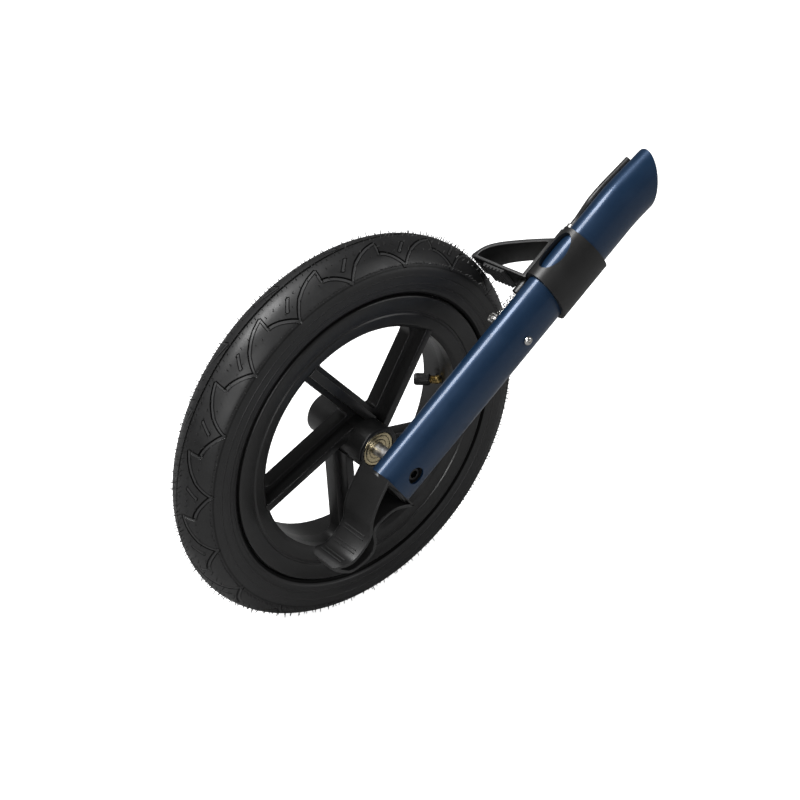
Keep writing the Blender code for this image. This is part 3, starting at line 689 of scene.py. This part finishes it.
def makeRim():
    sizes = rimSizes
    ring = [
        (0.0965, 0.0085, 0.002),
        (0.1018, 0.0115, 0.001),
        (0.1018, 0.0176, 0.0005),
        (0.1122, 0.0176, 0.0005),
        (0.1122, 0.0214, 0.0012),
        (0.1096, 0.0216, 0.001),
        (0.1004, 0.0210, 0.0006),
        (0.0998, 0.0201, 0.0003),
        (0.0984, 0.0201, 0.0003),
        (0.0976, 0.0208, 0.0006),
        (0.0900, 0.0200, 0.003),
        (0.0870, 0.0176, 0.001),
    ]
    half = rounded(ring, 0.0005, 3, False)
    profile = half + [(r, -y) for r, y in reversed(half)]
    rim = turned("rimShown", profile, rimPlastic, wheelFrame, 240, sharp=50.0)
    windows = [windowOutline(k) for k in range(sizes["spokes"])]
    beams = plate(
        "beams", [circle(0.0905), *windows], sizes["ledgeY"], sizes["farY"], 0.0006, rimPlastic, wheelFrame
    )
    parts = [beams]
    for k in range(sizes["spokes"]):
        run, normal = spokeAxes(k)
        ends = (0.004, sqrt(0.0905**2 - 0.0178**2))
        offsets = (sizes["ribNear"], sizes["ribFar"])
        corners = [normal * offsets[0] + run * ends[0], normal * offsets[1] + run * ends[0]]
        corners += [normal * offsets[1] + run * ends[1], normal * offsets[0] + run * ends[1]]
        outline = [(c.x, c.y) for c in corners]
        parts.append(
            plate(
                f"rib{k}", [outline], sizes["faceY"], sizes["ledgeY"] + 0.0006, 0.0005, rimPlastic, wheelFrame
            )
        )
    seat = 0.0133
    near = [(seat, -0.0353, 0.0004), (0.0168, -0.0353, 0.0009), (0.0172, -0.0105, 0.0), (seat, -0.0105, 0.0)]
    far = [(seat, 0.0256, 0.0004), (0.0158, 0.0256, 0.001), (0.0166, -0.0015, 0.0), (seat, -0.0015, 0.0)]
    for label, barrel in (("nearBarrel", near), ("farBarrel", far)):
        parts.append(turned(label, rounded(barrel, 0.0006, 3), rimPlastic, wheelFrame, 96))
    web = [(0.0095, -0.0268), (0.0095, 0.0126), (0.0150, 0.0126), (0.0150, -0.0268)]
    parts.append(turned("hubWeb", web, rimPlastic, wheelFrame, 64))
    joinInto(rim, parts)
    rim.name = "rimShown"
    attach(rim, "wheel")
    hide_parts("wheel_rim")


def makeBearing():
    gold = steelPaint("yellowZinc", (0.74, 0.63, 0.4), 0.24)
    for side, start, out in (("near", -0.035, -1), ("far", 0.013, 1)):
        end = start + 0.008
        outer = rounded([(0.0108, start), (0.013, start), (0.013, end), (0.0108, end)], 0.0004, 3)
        inner = rounded([(0.005, start), (0.0073, start), (0.0073, end), (0.005, end)], 0.0003, 3)
        face = (start if out < 0 else end) - out * 0.0002
        back = face - out * 0.0006
        low, high = min(face, back), max(face, back)
        shield = rounded([(0.0076, low), (0.0105, low), (0.0105, high), (0.0076, high)], 0.00015, 2)
        for label, node, profile, paint in (
            ("OuterRace", "_bearing_outer_race", outer, gold),
            ("Shield", "_bearing_shield", shield, gold),
        ):
            made = turned(side + label, profile, paint, wheelFrame, 96)
            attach(made, "wheel")
            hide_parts(side + node)
        made = turned(side + "InnerRace", inner, gold, wheelFrame, 96)
        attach(made, "leg")
        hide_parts(side + "_bearing_inner_race")


def makeAxle():
    axle = [
        (0, -0.0552),
        (0.0033, -0.0552),
        (0.0033, -0.066),
        (0.0042, -0.066),
        (0.0047, -0.0667),
        (0.0047, 0.0213),
        (0.0078, 0.0213),
        (0.0085, 0.0219),
        (0.0085, 0.0228),
        (0.0078, 0.0235),
        (0, 0.0235),
    ]
    bright = steelPaint("axleSteel", (0.88, 0.88, 0.89), 0.42)
    made = turned("axleShown", axle, bright, wheelFrame, 64)
    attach(made, "leg")
    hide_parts("axle")


makeRim()
makeBearing()
makeAxle()
print("wheel ready")


# Valve

valveSizes = {
    "turn": 2.6,
    "bend": 45.0,
    "elbow": 0.0851,
    "foot": -0.0222,
    "radius": 0.0032,
    "tip": 0.003,
    "capStart": 0.0053,
    "threadEnd": 0.0138,
    "capEnd": 0.017,
}


def makeValve():
    sizes = valveSizes
    out = Matrix.Rotation(radians(-sizes["turn"]), 4, "Y") @ Matrix.Translation((sizes["elbow"], 0.0, 0.0))
    place = out @ Matrix.Rotation(pi / 2, 4, "Y") @ Matrix.Rotation(-pi / 2, 4, "X")
    bent = place @ Matrix.Rotation(radians(sizes["bend"]), 4, "X")
    rubber = Paint("valveRubber", (0.015, 0.015, 0.015), 0.55)
    rubber.bump(rubber.noise(500.0), 0.0001, 0.3)
    brass = steelPaint("valveBrass", (0.62, 0.44, 0.17), 0.3)
    foot = sizes["foot"]
    radius = sizes["radius"]
    dome = [(radius * cos(pi * k / 20), radius * sin(pi * k / 20)) for k in range(10)]
    stem = [(0, foot - 0.0013), (0.0048, foot - 0.0013), (0.0048, foot), (radius, foot), *dome, (0, radius)]
    made = turned("valveShown", stem, brass, wheelFrame, 48, place, 30.0)
    tip = [(0, 0.0), (sizes["tip"], 0.0)]
    for k in range(6):
        start = 0.0012 + 0.00065 * k
        tip += [
            (sizes["tip"], start), (sizes["tip"] - 0.00022, start + 0.0003), (sizes["tip"], start + 0.0006)
        ]
    tip += [
        (sizes["tip"] - 0.0004, 0.0052), (sizes["tip"] - 0.0004, sizes["threadEnd"]), (0, sizes["threadEnd"])
    ]
    bend = turned("valveTip", tip, brass, wheelFrame, 48, bent, 30.0)
    collar = turned(
        "valveCollar",
        rounded([(0.0033, -0.0034), (0.0046, -0.0034), (0.0040, -0.0014), (0.0033, -0.0014)], 0.0005, 3),
        rubber,
        wheelFrame,
        48,
        place,
    )
    joinInto(made, [bend, collar])
    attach(made, "wheel")
    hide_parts("valve_stem")
    bm = bmesh.new()
    loops = []
    ridges = 22
    low = sizes["capStart"]
    high = sizes["capEnd"]
    rows = (
        (0.0, 0.0027, 0), (0.0, 0.0038, 0), (0.0009, 0.0045, 0), (0.0014, 0.0045, 1),
        (high - low - 0.0026, 0.0045, 1), (high - low - 0.002, 0.0045, 0),
        (high - low - 0.0006, 0.0042, 0), (high - low, 0.0034, 0),
    )
    for along, reach, ribbed in rows:
        loop = []
        for k in range(4 * ridges):
            width = reach - ribbed * (0.00035 if k // 2 % 2 else 0)
            turn = 2 * pi * k / (4 * ridges)
            loop.append(bent @ Vector((width * cos(turn), low + along, width * sin(turn))))
        loops.append(loop)
    rings(bm, loops)
    cap = addMesh("valveCapShown", bm, plastic, wheelFrame, 30.0)
    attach(cap, "cap")
    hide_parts("valve_cap")


makeValve()
print("valve ready")


# Leg

legSizes = {
    "y": -0.0638,
    "halfWide": 0.021,
    "halfDeep": 0.013,
    "wall": 0.0015,
    "start": -0.016,
    "bendStart": 0.232,
    "bendRadius": 0.12,
    "bendAngle": radians(7.0),
    "endX": 0.22,
}


def legStations(extra=0.0):
    sizes = legSizes
    stations = [(sizes["start"] - extra, 0.0, 0.0)]
    stations += [(0.1 + 0.033 * k, 0.0, 0.0) for k in range(4)] + [(sizes["bendStart"], 0.0, 0.0)]
    for k in range(1, 9):
        turn = sizes["bendAngle"] * k / 8
        stations.append(
            (
                sizes["bendStart"] + sizes["bendRadius"] * sin(turn),
                -sizes["bendRadius"] * (1 - cos(turn)),
                -turn,
            )
        )
    return stations


def atLegEnd(x, z, slope, extra=0.0):
    short = legSizes["endX"] + extra - (x * cos(legAngle) - z * sin(legAngle))
    run = short / cos(legAngle + slope)
    return x + run * cos(slope), z + run * sin(slope)


def oval(halfWide, halfDeep, count):
    turns = (2 * pi * k / count for k in range(count))
    return [(legSizes["y"] + halfDeep * cos(t), halfWide * sin(t)) for t in turns]


def legSkin(name, less, extra, paint, count=96):
    sizes = legSizes
    section = oval(sizes["halfWide"] - less, sizes["halfDeep"] - less, count)
    loops = []
    for x, z, slope in legStations(extra):
        loops.append([Vector((x - w * sin(slope), y, z + w * cos(slope))) for y, w in section])
    slope = -sizes["bendAngle"]
    ends = [atLegEnd(point.x, point.z, slope, extra) for point in loops[-1]]
    loops.append([Vector((x, y, z)) for (x, z), (y, _) in zip(ends, section)])
    bm = bmesh.new()
    rings(bm, loops)
    return addMesh(name, bm, paint, legFrame)


def crossPin(name, x, radius, low, high, count=48):
    profile = [(0, low), (radius, low), (radius, high), (0, high)]
    return turned(name, profile, None, legFrame, count, Matrix.Translation((x, 0, 0)))


def makeLeg():
    paint = bluePaint("bluePaint")
    tube = legSkin("legShown", 0.0, 0.0, paint)
    cutBy(tube, legSkin("legHollow", legSizes["wall"], 0.001, None))
    cutBy(tube, crossPin("recess", 0.0, 0.0065, -0.085, -0.065))
    cutBy(tube, crossPin("axleHole", 0.0, 0.0053, -0.065, -0.045))
    cutBy(tube, crossPin("screwHole", 0.123, 0.0018, -0.085, -0.045, 24))
    tube.data.transform(tube.matrix_world)
    tube.matrix_world = Matrix.Identity(4)
    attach(tube, "leg")
    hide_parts("leg_tube")


def makeBolt():
    black = steelPaint("blackSteel", (0.05, 0.05, 0.052), 0.34)
    head = -0.0743
    outer = rounded(
        [
            (0, head + 0.0031, 0), (0.0026, head + 0.0031, 0), (0.0029, head, 0.0002),
            (0.005, head, 0.0007), (0.005, head + 0.0052, 0.0003), (0.003, head + 0.0052, 0),
            (0.003, -0.056, 0), (0, -0.056, 0),
        ],
        0.0002,
        3,
        False,
    )
    made = turned("boltShown", outer, black, wheelFrame, 6 * 12)
    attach(made, "leg")
    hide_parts("axle_bolt")


def makeAnchor():
    head = -0.0771
    place = Matrix.Translation((0.123, 0, 0))
    bright = steelPaint("screwSteel", (0.78, 0.77, 0.75), 0.2)
    profile = [
        (0, head - 0.0012), (0.0011, head - 0.0012), (0.0013, head - 0.0022),
        (0.0022, head - 0.0021), (0.0031, head - 0.0014), (0.0035, head - 0.0004), (0.0035, head),
        (0.0015, head), (0.0015, -0.042), (0, -0.042),
    ]
    screw = turned("screwShown", profile, bright, legFrame, 48, place)
    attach(screw, "leg")
    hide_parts("anchor_screw")
    bm = bmesh.new()
    loops = []
    ridges = 20
    for along, reach, ribbed in (
        (-0.0505, 0.0018, 0), (-0.0505, 0.0034, 0), (-0.0501, 0.0038, 1), (-0.0462, 0.0038, 1),
        (-0.0458, 0.0034, 0), (-0.0440, 0.0034, 0), (-0.0436, 0.0038, 1), (-0.0388, 0.0038, 1),
        (-0.0382, 0.0032, 0), (-0.038, 0.0028, 0),
    ):
        loop = []
        for k in range(4 * ridges):
            turn = 2 * pi * k / (4 * ridges)
            size = reach - ribbed * (0.0003 if k // 2 % 2 else 0)
            loop.append(Vector((0.123 + size * cos(turn), along, size * sin(turn))))
        loops.append(loop)
    rings(bm, loops)
    nut = addMesh("anchorShown", bm, steel, legFrame, 30.0)
    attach(nut, "leg")
    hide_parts("anchor_nut")


makeLeg()
makeBolt()
makeAnchor()
print("leg ready")


# Foot pedal

pedalSizes = {
    "near": -0.0768,
    "far": -0.0468,
    "wall": 0.0026,
    "web": 0.0025,
    "top": (
        (-0.016, 0.0208), (-0.033, 0.0136), (-0.045, 0.0062), (-0.055, -0.0039), (-0.072, -0.006),
        (-0.081, -0.0002), (-0.0862, 0.0008),
    ),
    "low": (
        (-0.016, -0.0208), (-0.028, -0.007), (-0.0455, -0.0036), (-0.053, -0.014),
        (-0.062, -0.019), (-0.078, -0.0144), (-0.0866, -0.0055),
    ),
    "toe": (-0.0876, -0.0024),
    "ribs": (-0.0552, -0.0578, -0.0664, -0.069, -0.0766, -0.0792),
    "ribEnds": (-0.0725, -0.0512),
    "toeRound": 0.011,
}


def toeShape():
    reach = pedalSizes["toe"][0] - 0.0004
    low = pedalSizes["near"] - 0.0002
    high = pedalSizes["far"] + 0.0002
    outline = rounded(
        [
            (reach, low, pedalSizes["toeRound"]), (0.03, low, 0), (0.03, high, 0),
            (reach, high, pedalSizes["toeRound"]),
        ],
        0.001,
        10,
    )
    bm = bmesh.new()
    rings(bm, [[Vector((x, y, z)) for x, y in outline] for z in (-0.04, 0.04)])
    return addMesh("toeShape", bm, None, legFrame)


def makePedal():
    sizes = pedalSizes
    top = smoothLine(sizes["top"], 8)
    low = smoothLine(sizes["low"], 8)
    outline = top + [sizes["toe"]] + low[::-1]
    pocketTop = movedIn(top, sizes["wall"])
    pocketLow = movedIn(low, -sizes["wall"])
    pairs = [(a, b) for a, b in zip(pocketTop, pocketLow) if a[1] - b[1] > 0.0007 and a[0] < -0.0178]
    pairs = pairs[: max(1, len(pairs) - 5)]
    pocket = [a for a, _ in pairs] + [b for _, b in reversed(pairs)]
    body = plate(
        "pedalShown", [outline, pocket], sizes["near"], sizes["far"] - 0.0004, 0.0006, pedalPlastic, legFrame
    )
    back = plate(
        "pedalBack", [outline], sizes["far"] - sizes["web"], sizes["far"], 0.0006, pedalPlastic, legFrame
    )
    for piece in (body, back):
        cutBy(piece, toeShape(), "INTERSECT")
    plug = bmesh.new()
    section = oval(0.0187, 0.0112, 64)
    loops = [[Vector((x, y, z)) for y, z in section] for x in (-0.019, 0.018)]
    rings(plug, loops)
    filled = addMesh("pedalPlug", plug, pedalPlastic, legFrame)
    cutBy(filled, crossPin("boltRecess", 0.0, 0.0065, -0.085, -0.070))
    cutBy(filled, crossPin("axleRoom", 0.0, 0.0053, -0.0675, -0.045))
    collar = bmesh.new()
    outer = oval(0.0207, 0.0132, 96)
    inner = oval(0.0170, 0.0100, 96)
    loops = [
        [Vector((x, y, z)) for y, z in ring]
        for x, ring in ((-0.0163, inner), (-0.0163, outer), (-0.0182, outer), (-0.0182, inner))
    ]
    rings(collar, loops, True)
    lip = addMesh("pedalLip", collar, pedalPlastic, legFrame)
    grip = bmesh.new()
    for x in sizes["ribs"]:
        z = next(
            a[1] + (b[1] - a[1]) * (x - a[0]) / (b[0] - a[0])
            for a, b in zip(top, top[1:]) if b[0] <= x <= a[0]
        )
        half = 0.0005
        loops = [
            [
                Vector((x + dx, y, z + dz))
                for dx, dz in ((-half, -0.0008), (half, -0.0008), (half * 0.6, 0.0008), (-half * 0.6, 0.0008))
            ]
            for y in sizes["ribEnds"]
        ]
        rings(grip, loops)
    ribs = addMesh("pedalRibs", grip, pedalPlastic, legFrame, 30.0)
    joinInto(body, [back, filled, lip, ribs])
    body.name = "pedalShown"
    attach(body, "leg")
    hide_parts("foot_pedal")


makePedal()
print("pedal ready")


# Brake

brakeSizes = {
    "gap": 0.0004,
    "wall": 0.0033,
    "start": 0.1565,
    "end": 0.202,
    "slant": 0.125,
    "windowAt": 0.1826,
    "windowLong": 0.0155,
    "windowWide": 0.008,
    "tip": 0.1524,
    "tilt": 0.142,
    "strut": 0.0024,
    "arch": 0.0029,
    "wide": 0.025,
    "cableY": -0.0453,
    "cableZ": 0.003,
}


def strutTop(y):
    return brakeSizes["tip"] - brakeSizes["tilt"] * y


def sleeveRing(more, extra, paint, name):
    sizes = brakeSizes
    section = oval(legSizes["halfWide"] + more, legSizes["halfDeep"] + more, 96)
    loops = [[Vector((sizes["start"] - extra + sizes["slant"] * z, y, z)) for y, z in section]]
    loops.append([Vector((sizes["end"] + extra, y, z)) for y, z in section])
    bm = bmesh.new()
    rings(bm, loops)
    return addMesh(name, bm, paint, legFrame)


def makeSleeve():
    sizes = brakeSizes
    sleeve = sleeveRing(sizes["gap"] + sizes["wall"], 0.0, plastic, "sleeveShown")
    cutBy(sleeve, sleeveRing(sizes["gap"], 0.02, None, "sleeveBore"))
    turns = [2 * pi * k / 48 for k in range(48)]
    outline = [
        (sizes["windowAt"] + sizes["windowLong"] * cos(t), legSizes["y"] + sizes["windowWide"] * sin(t))
        for t in turns
    ]
    bm = bmesh.new()
    rings(bm, [[Vector((x, y, z)) for x, y in outline] for z in (0.0, 0.04)])
    cutBy(sleeve, addMesh("window", bm, None, legFrame))
    bevel = sleeve.modifiers.new("edges", "BEVEL")
    bevel.width = 0.0007
    bevel.segments = 3
    bevel.limit_method = "ANGLE"
    bevel.angle_limit = radians(40)
    bevel.harden_normals = True
    return sleeve


def makeHoop():
    sizes = brakeSizes
    root = -0.0502
    arch = [(strutTop(0.0003), 0.0003), (0.1616, -0.004), (0.1703, -0.013), (0.1833, -0.0325), (0.1936, root)]
    outerArch = smoothLine(arch, 8)
    innerArch = movedIn(outerArch, -sizes["arch"])
    outer = [(strutTop(root) - sizes["strut"], root), (strutTop(0.0) - sizes["strut"], 0.0003)] + outerArch
    inside = -0.0463
    rows = [(x, y) for x, y in innerArch if x > strutTop(y) + 0.0015 and y > inside]
    inner = [(strutTop(rows[0][1]), rows[0][1])] + rows + [
        (rows[-1][0] + 0.0008, inside), (strutTop(inside), inside)
    ]
    low = sizes["cableZ"] - 0.0016 - sizes["wide"] / 2
    return plate("hoop", [outer, inner], low, low + sizes["wide"], 0.0005, plastic, legFrame, "z")


def rodAlong(name, radius, start, end, paint, bore=None):
    place = Matrix.Translation(
        (0, brakeSizes["cableY"], brakeSizes["cableZ"])
    ) @ Matrix.Rotation(-pi / 2, 4, "Z")
    inside = bore or 0.0
    profile = rounded(
        [(inside, start, 0), (radius, start, 0.0005), (radius, end, 0.0005), (inside, end, 0)],
        0.0004,
        3,
        False,
    )
    return turned(name, profile, paint, legFrame, 48, place)


def makePad():
    sizes = brakeSizes
    rubber = Paint("padRubber", (0.016, 0.016, 0.016), 0.6)
    rubber.bump(rubber.noise(700.0), 0.00012, 0.3)

    def under(y, depth):
        return (strutTop(y) - sizes["strut"] - 0.0003 - depth, y)

    pitch = 0.0031
    start = -0.012
    teeth = 6
    outline = [under(start - teeth * pitch, 0.0), under(start, 0.0)]
    for k in range(teeth):
        top = start - k * pitch
        outline += [
            under(top, 0.0011),
            under(top - 0.25 * pitch, 0.0028),
            under(top - 0.6 * pitch, 0.0028),
            under(top - 0.85 * pitch, 0.0011),
        ]
    outline.append(under(start - teeth * pitch, 0.0011))
    low = sizes["cableZ"] - 0.0016 - 0.011
    pad = plate("padShown", [outline], low, low + 0.022, 0.0002, rubber, legFrame, "z")
    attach(pad, "brake")
    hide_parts("brake_pad")


def makeBrake():
    sleeve = makeSleeve()
    hoop = makeHoop()
    boss = rodAlong("boss", 0.0046, 0.1845, 0.2025, plastic)
    block = rodAlong("block", 0.004, 0.146, 0.1585, plastic)
    for made, replaced in ((sleeve, ["brake_carrier"]), (hoop, []), (boss, []), (block, [])):
        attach(made, "brake")
        if replaced:
            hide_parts(*replaced)
    cup = rodAlong("ferruleShown", 0.0034, 0.1903, 0.209, steel, 0.0029)
    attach(cup, "brake")
    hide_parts("cable_ferrule")


def makeCable():
    jacket = moulded("cableJacket", 0.014, 0.38, 0.00005)
    y, z = brakeSizes["cableY"], brakeSizes["cableZ"]
    highY, highZ = -0.048, 0.009
    points = [(0.2, y, z), (0.206, y, z), (0.212, y, z)]
    for k in range(1, 11):
        share = k / 10
        eased = share * share * (3 - 2 * share)
        points.append((0.212 + 0.02 * share, y + (highY - y) * eased, z + (highZ - z) * eased))
    for x, up, slope in legStations()[6:]:
        points.append((x - highZ * sin(slope), highY, up + highZ * cos(slope)))
    x, _, up = points[-1]
    endX, endZ = atLegEnd(x, up, -legSizes["bendAngle"])
    for share in (0.31, 0.62, 0.93):
        points.append((x + share * (endX - x), highY, up + share * (endZ - up)))
    housing = pipe("housingShown", points, 0.0025, jacket, legFrame, 24)
    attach(housing, "leg")
    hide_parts("cable_housing")


makeBrake()
makePad()
makeCable()
print("brake ready")


# Finishes of the CAD pieces that stay

def finish(node, paint):
    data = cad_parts[node].data
    data.materials.clear()
    data.materials.append(paint.material)


finish("hub_cap", plastic)
finish("brake_wire", steel)


springSizes = {
    "start": 0.1275,
    "end": 0.1453,
    "radius": 0.0026,
    "wire": 0.0004,
    "turns": 5,
}


def makeSpring():
    sizes = springSizes
    steps = 24 * sizes["turns"]
    points = []
    for k in range(steps + 1):
        turn = 2 * pi * k / 24
        along = sizes["start"] + (sizes["end"] - sizes["start"]) * k / steps
        points.append(
            Vector(
                (
                    along,
                    brakeSizes["cableY"] + sizes["radius"] * cos(turn),
                    brakeSizes["cableZ"] + sizes["radius"] * sin(turn),
                )
            )
        )
    spring = pipe("springShown", points, sizes["wire"], steel, legFrame, 8)
    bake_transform(spring)
    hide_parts("return_spring")


makeSpring()
finish("bearing_spacer", steel)
finish("near_bearing_cage", steel)
finish("far_bearing_cage", steel)
tubePaint = Paint("tubeRubber", (0.015, 0.015, 0.015), 0.5)
tubePaint.bump(tubePaint.noise(300.0), 0.0001, 0.2)
finish("inner_tube", tubePaint)


# Stage, light and camera

def makeStage():
    paint = Paint("floor", (0.86, 0.86, 0.86), 0.7)
    paint.put("Base Color", paint.noise(3.0).blend((0.85, 0.85, 0.85), (0.87, 0.87, 0.87)))
    paint.shader.inputs["Emission Color"].default_value = (1.0, 1.0, 1.0, 1.0)
    paint.shader.inputs["Emission Strength"].default_value = 0.84
    tree = paint.tree
    # Pale for the camera and dimmer as a reflector
    dim = tree.nodes.new("ShaderNodeBsdfDiffuse")
    dim.inputs["Color"].default_value = (0.35, 0.35, 0.35, 1.0)
    mix = tree.nodes.new("ShaderNodeMixShader")
    path = tree.nodes.new("ShaderNodeLightPath")
    tree.links.new(path.outputs["Is Camera Ray"], mix.inputs[0])
    tree.links.new(dim.outputs[0], mix.inputs[1])
    tree.links.new(paint.shader.outputs[0], mix.inputs[2])
    tree.links.new(mix.outputs[0], tree.nodes["Material Output"].inputs["Surface"])
    bm = bmesh.new()
    bmesh.ops.create_grid(bm, x_segments=1, y_segments=1, size=6.0)
    floor = addMesh("floor", bm, paint, Matrix.Identity(4))


def areaLight(name, at, target, size, power):
    data = bpy.data.lights.new(name, "AREA")
    data.shape = "RECTANGLE"
    data.size, data.size_y = size
    data.energy = power
    made = bpy.data.objects.new(name, data)
    bpy.context.scene.collection.objects.link(made)
    made.location = at
    made.rotation_euler = (Vector(target) - Vector(at)).to_track_quat("-Z", "Y").to_euler()


def makeWorld():
    world = bpy.data.worlds.new("studio")
    bpy.context.scene.world = world
    world.use_nodes = True
    tree = world.node_tree
    tree.nodes.clear()
    output = tree.nodes.new("ShaderNodeOutputWorld")
    mix = tree.nodes.new("ShaderNodeMixShader")
    path = tree.nodes.new("ShaderNodeLightPath")
    ambient = tree.nodes.new("ShaderNodeBackground")
    ambient.inputs[0].default_value = (1.0, 1.0, 1.0, 1.0)
    ambient.inputs[1].default_value = 0.12
    seen = tree.nodes.new("ShaderNodeBackground")
    seen.inputs[0].default_value = (1.0, 1.0, 1.0, 1.0)
    seen.inputs[1].default_value = 1.0
    tree.links.new(path.outputs["Is Camera Ray"], mix.inputs[0])
    tree.links.new(ambient.outputs[0], mix.inputs[1])
    tree.links.new(seen.outputs[0], mix.inputs[2])
    tree.links.new(mix.outputs[0], output.inputs[0])


def makeCamera():
    azimuth = radians(-39.2)
    elevation = radians(35.22)
    distance = 2.1
    data = bpy.data.cameras.new("camera")
    data.lens = 132.87
    data.sensor_width = 36.0
    data.shift_x = 0.06685
    data.shift_y = 0.0333
    data.clip_start = 0.05
    made = bpy.data.objects.new("camera", data)
    bpy.context.scene.collection.objects.link(made)
    toward = Vector((sin(azimuth) * cos(elevation), -cos(azimuth) * cos(elevation), sin(elevation)))
    made.location = axleAt + toward * distance
    made.rotation_euler = (-toward).to_track_quat("-Z", "Y").to_euler()
    bpy.context.scene.camera = made


makeStage()
makeWorld()
makeCamera()
areaLight("key", (-0.7, 0.3, 1.8), (0, 0, 0.15), (0.8, 0.8), 40.0)
areaLight("side", (1.5, -1.4, 0.9), (0, 0, 0.15), (0.6, 1.4), 9.0)
areaLight("near", (-1.3, -1.5, 0.9), (0, 0, 0.15), (0.35, 0.9), 14.0)
bpy.context.scene.view_settings.view_transform = "Standard"
print("stage ready")
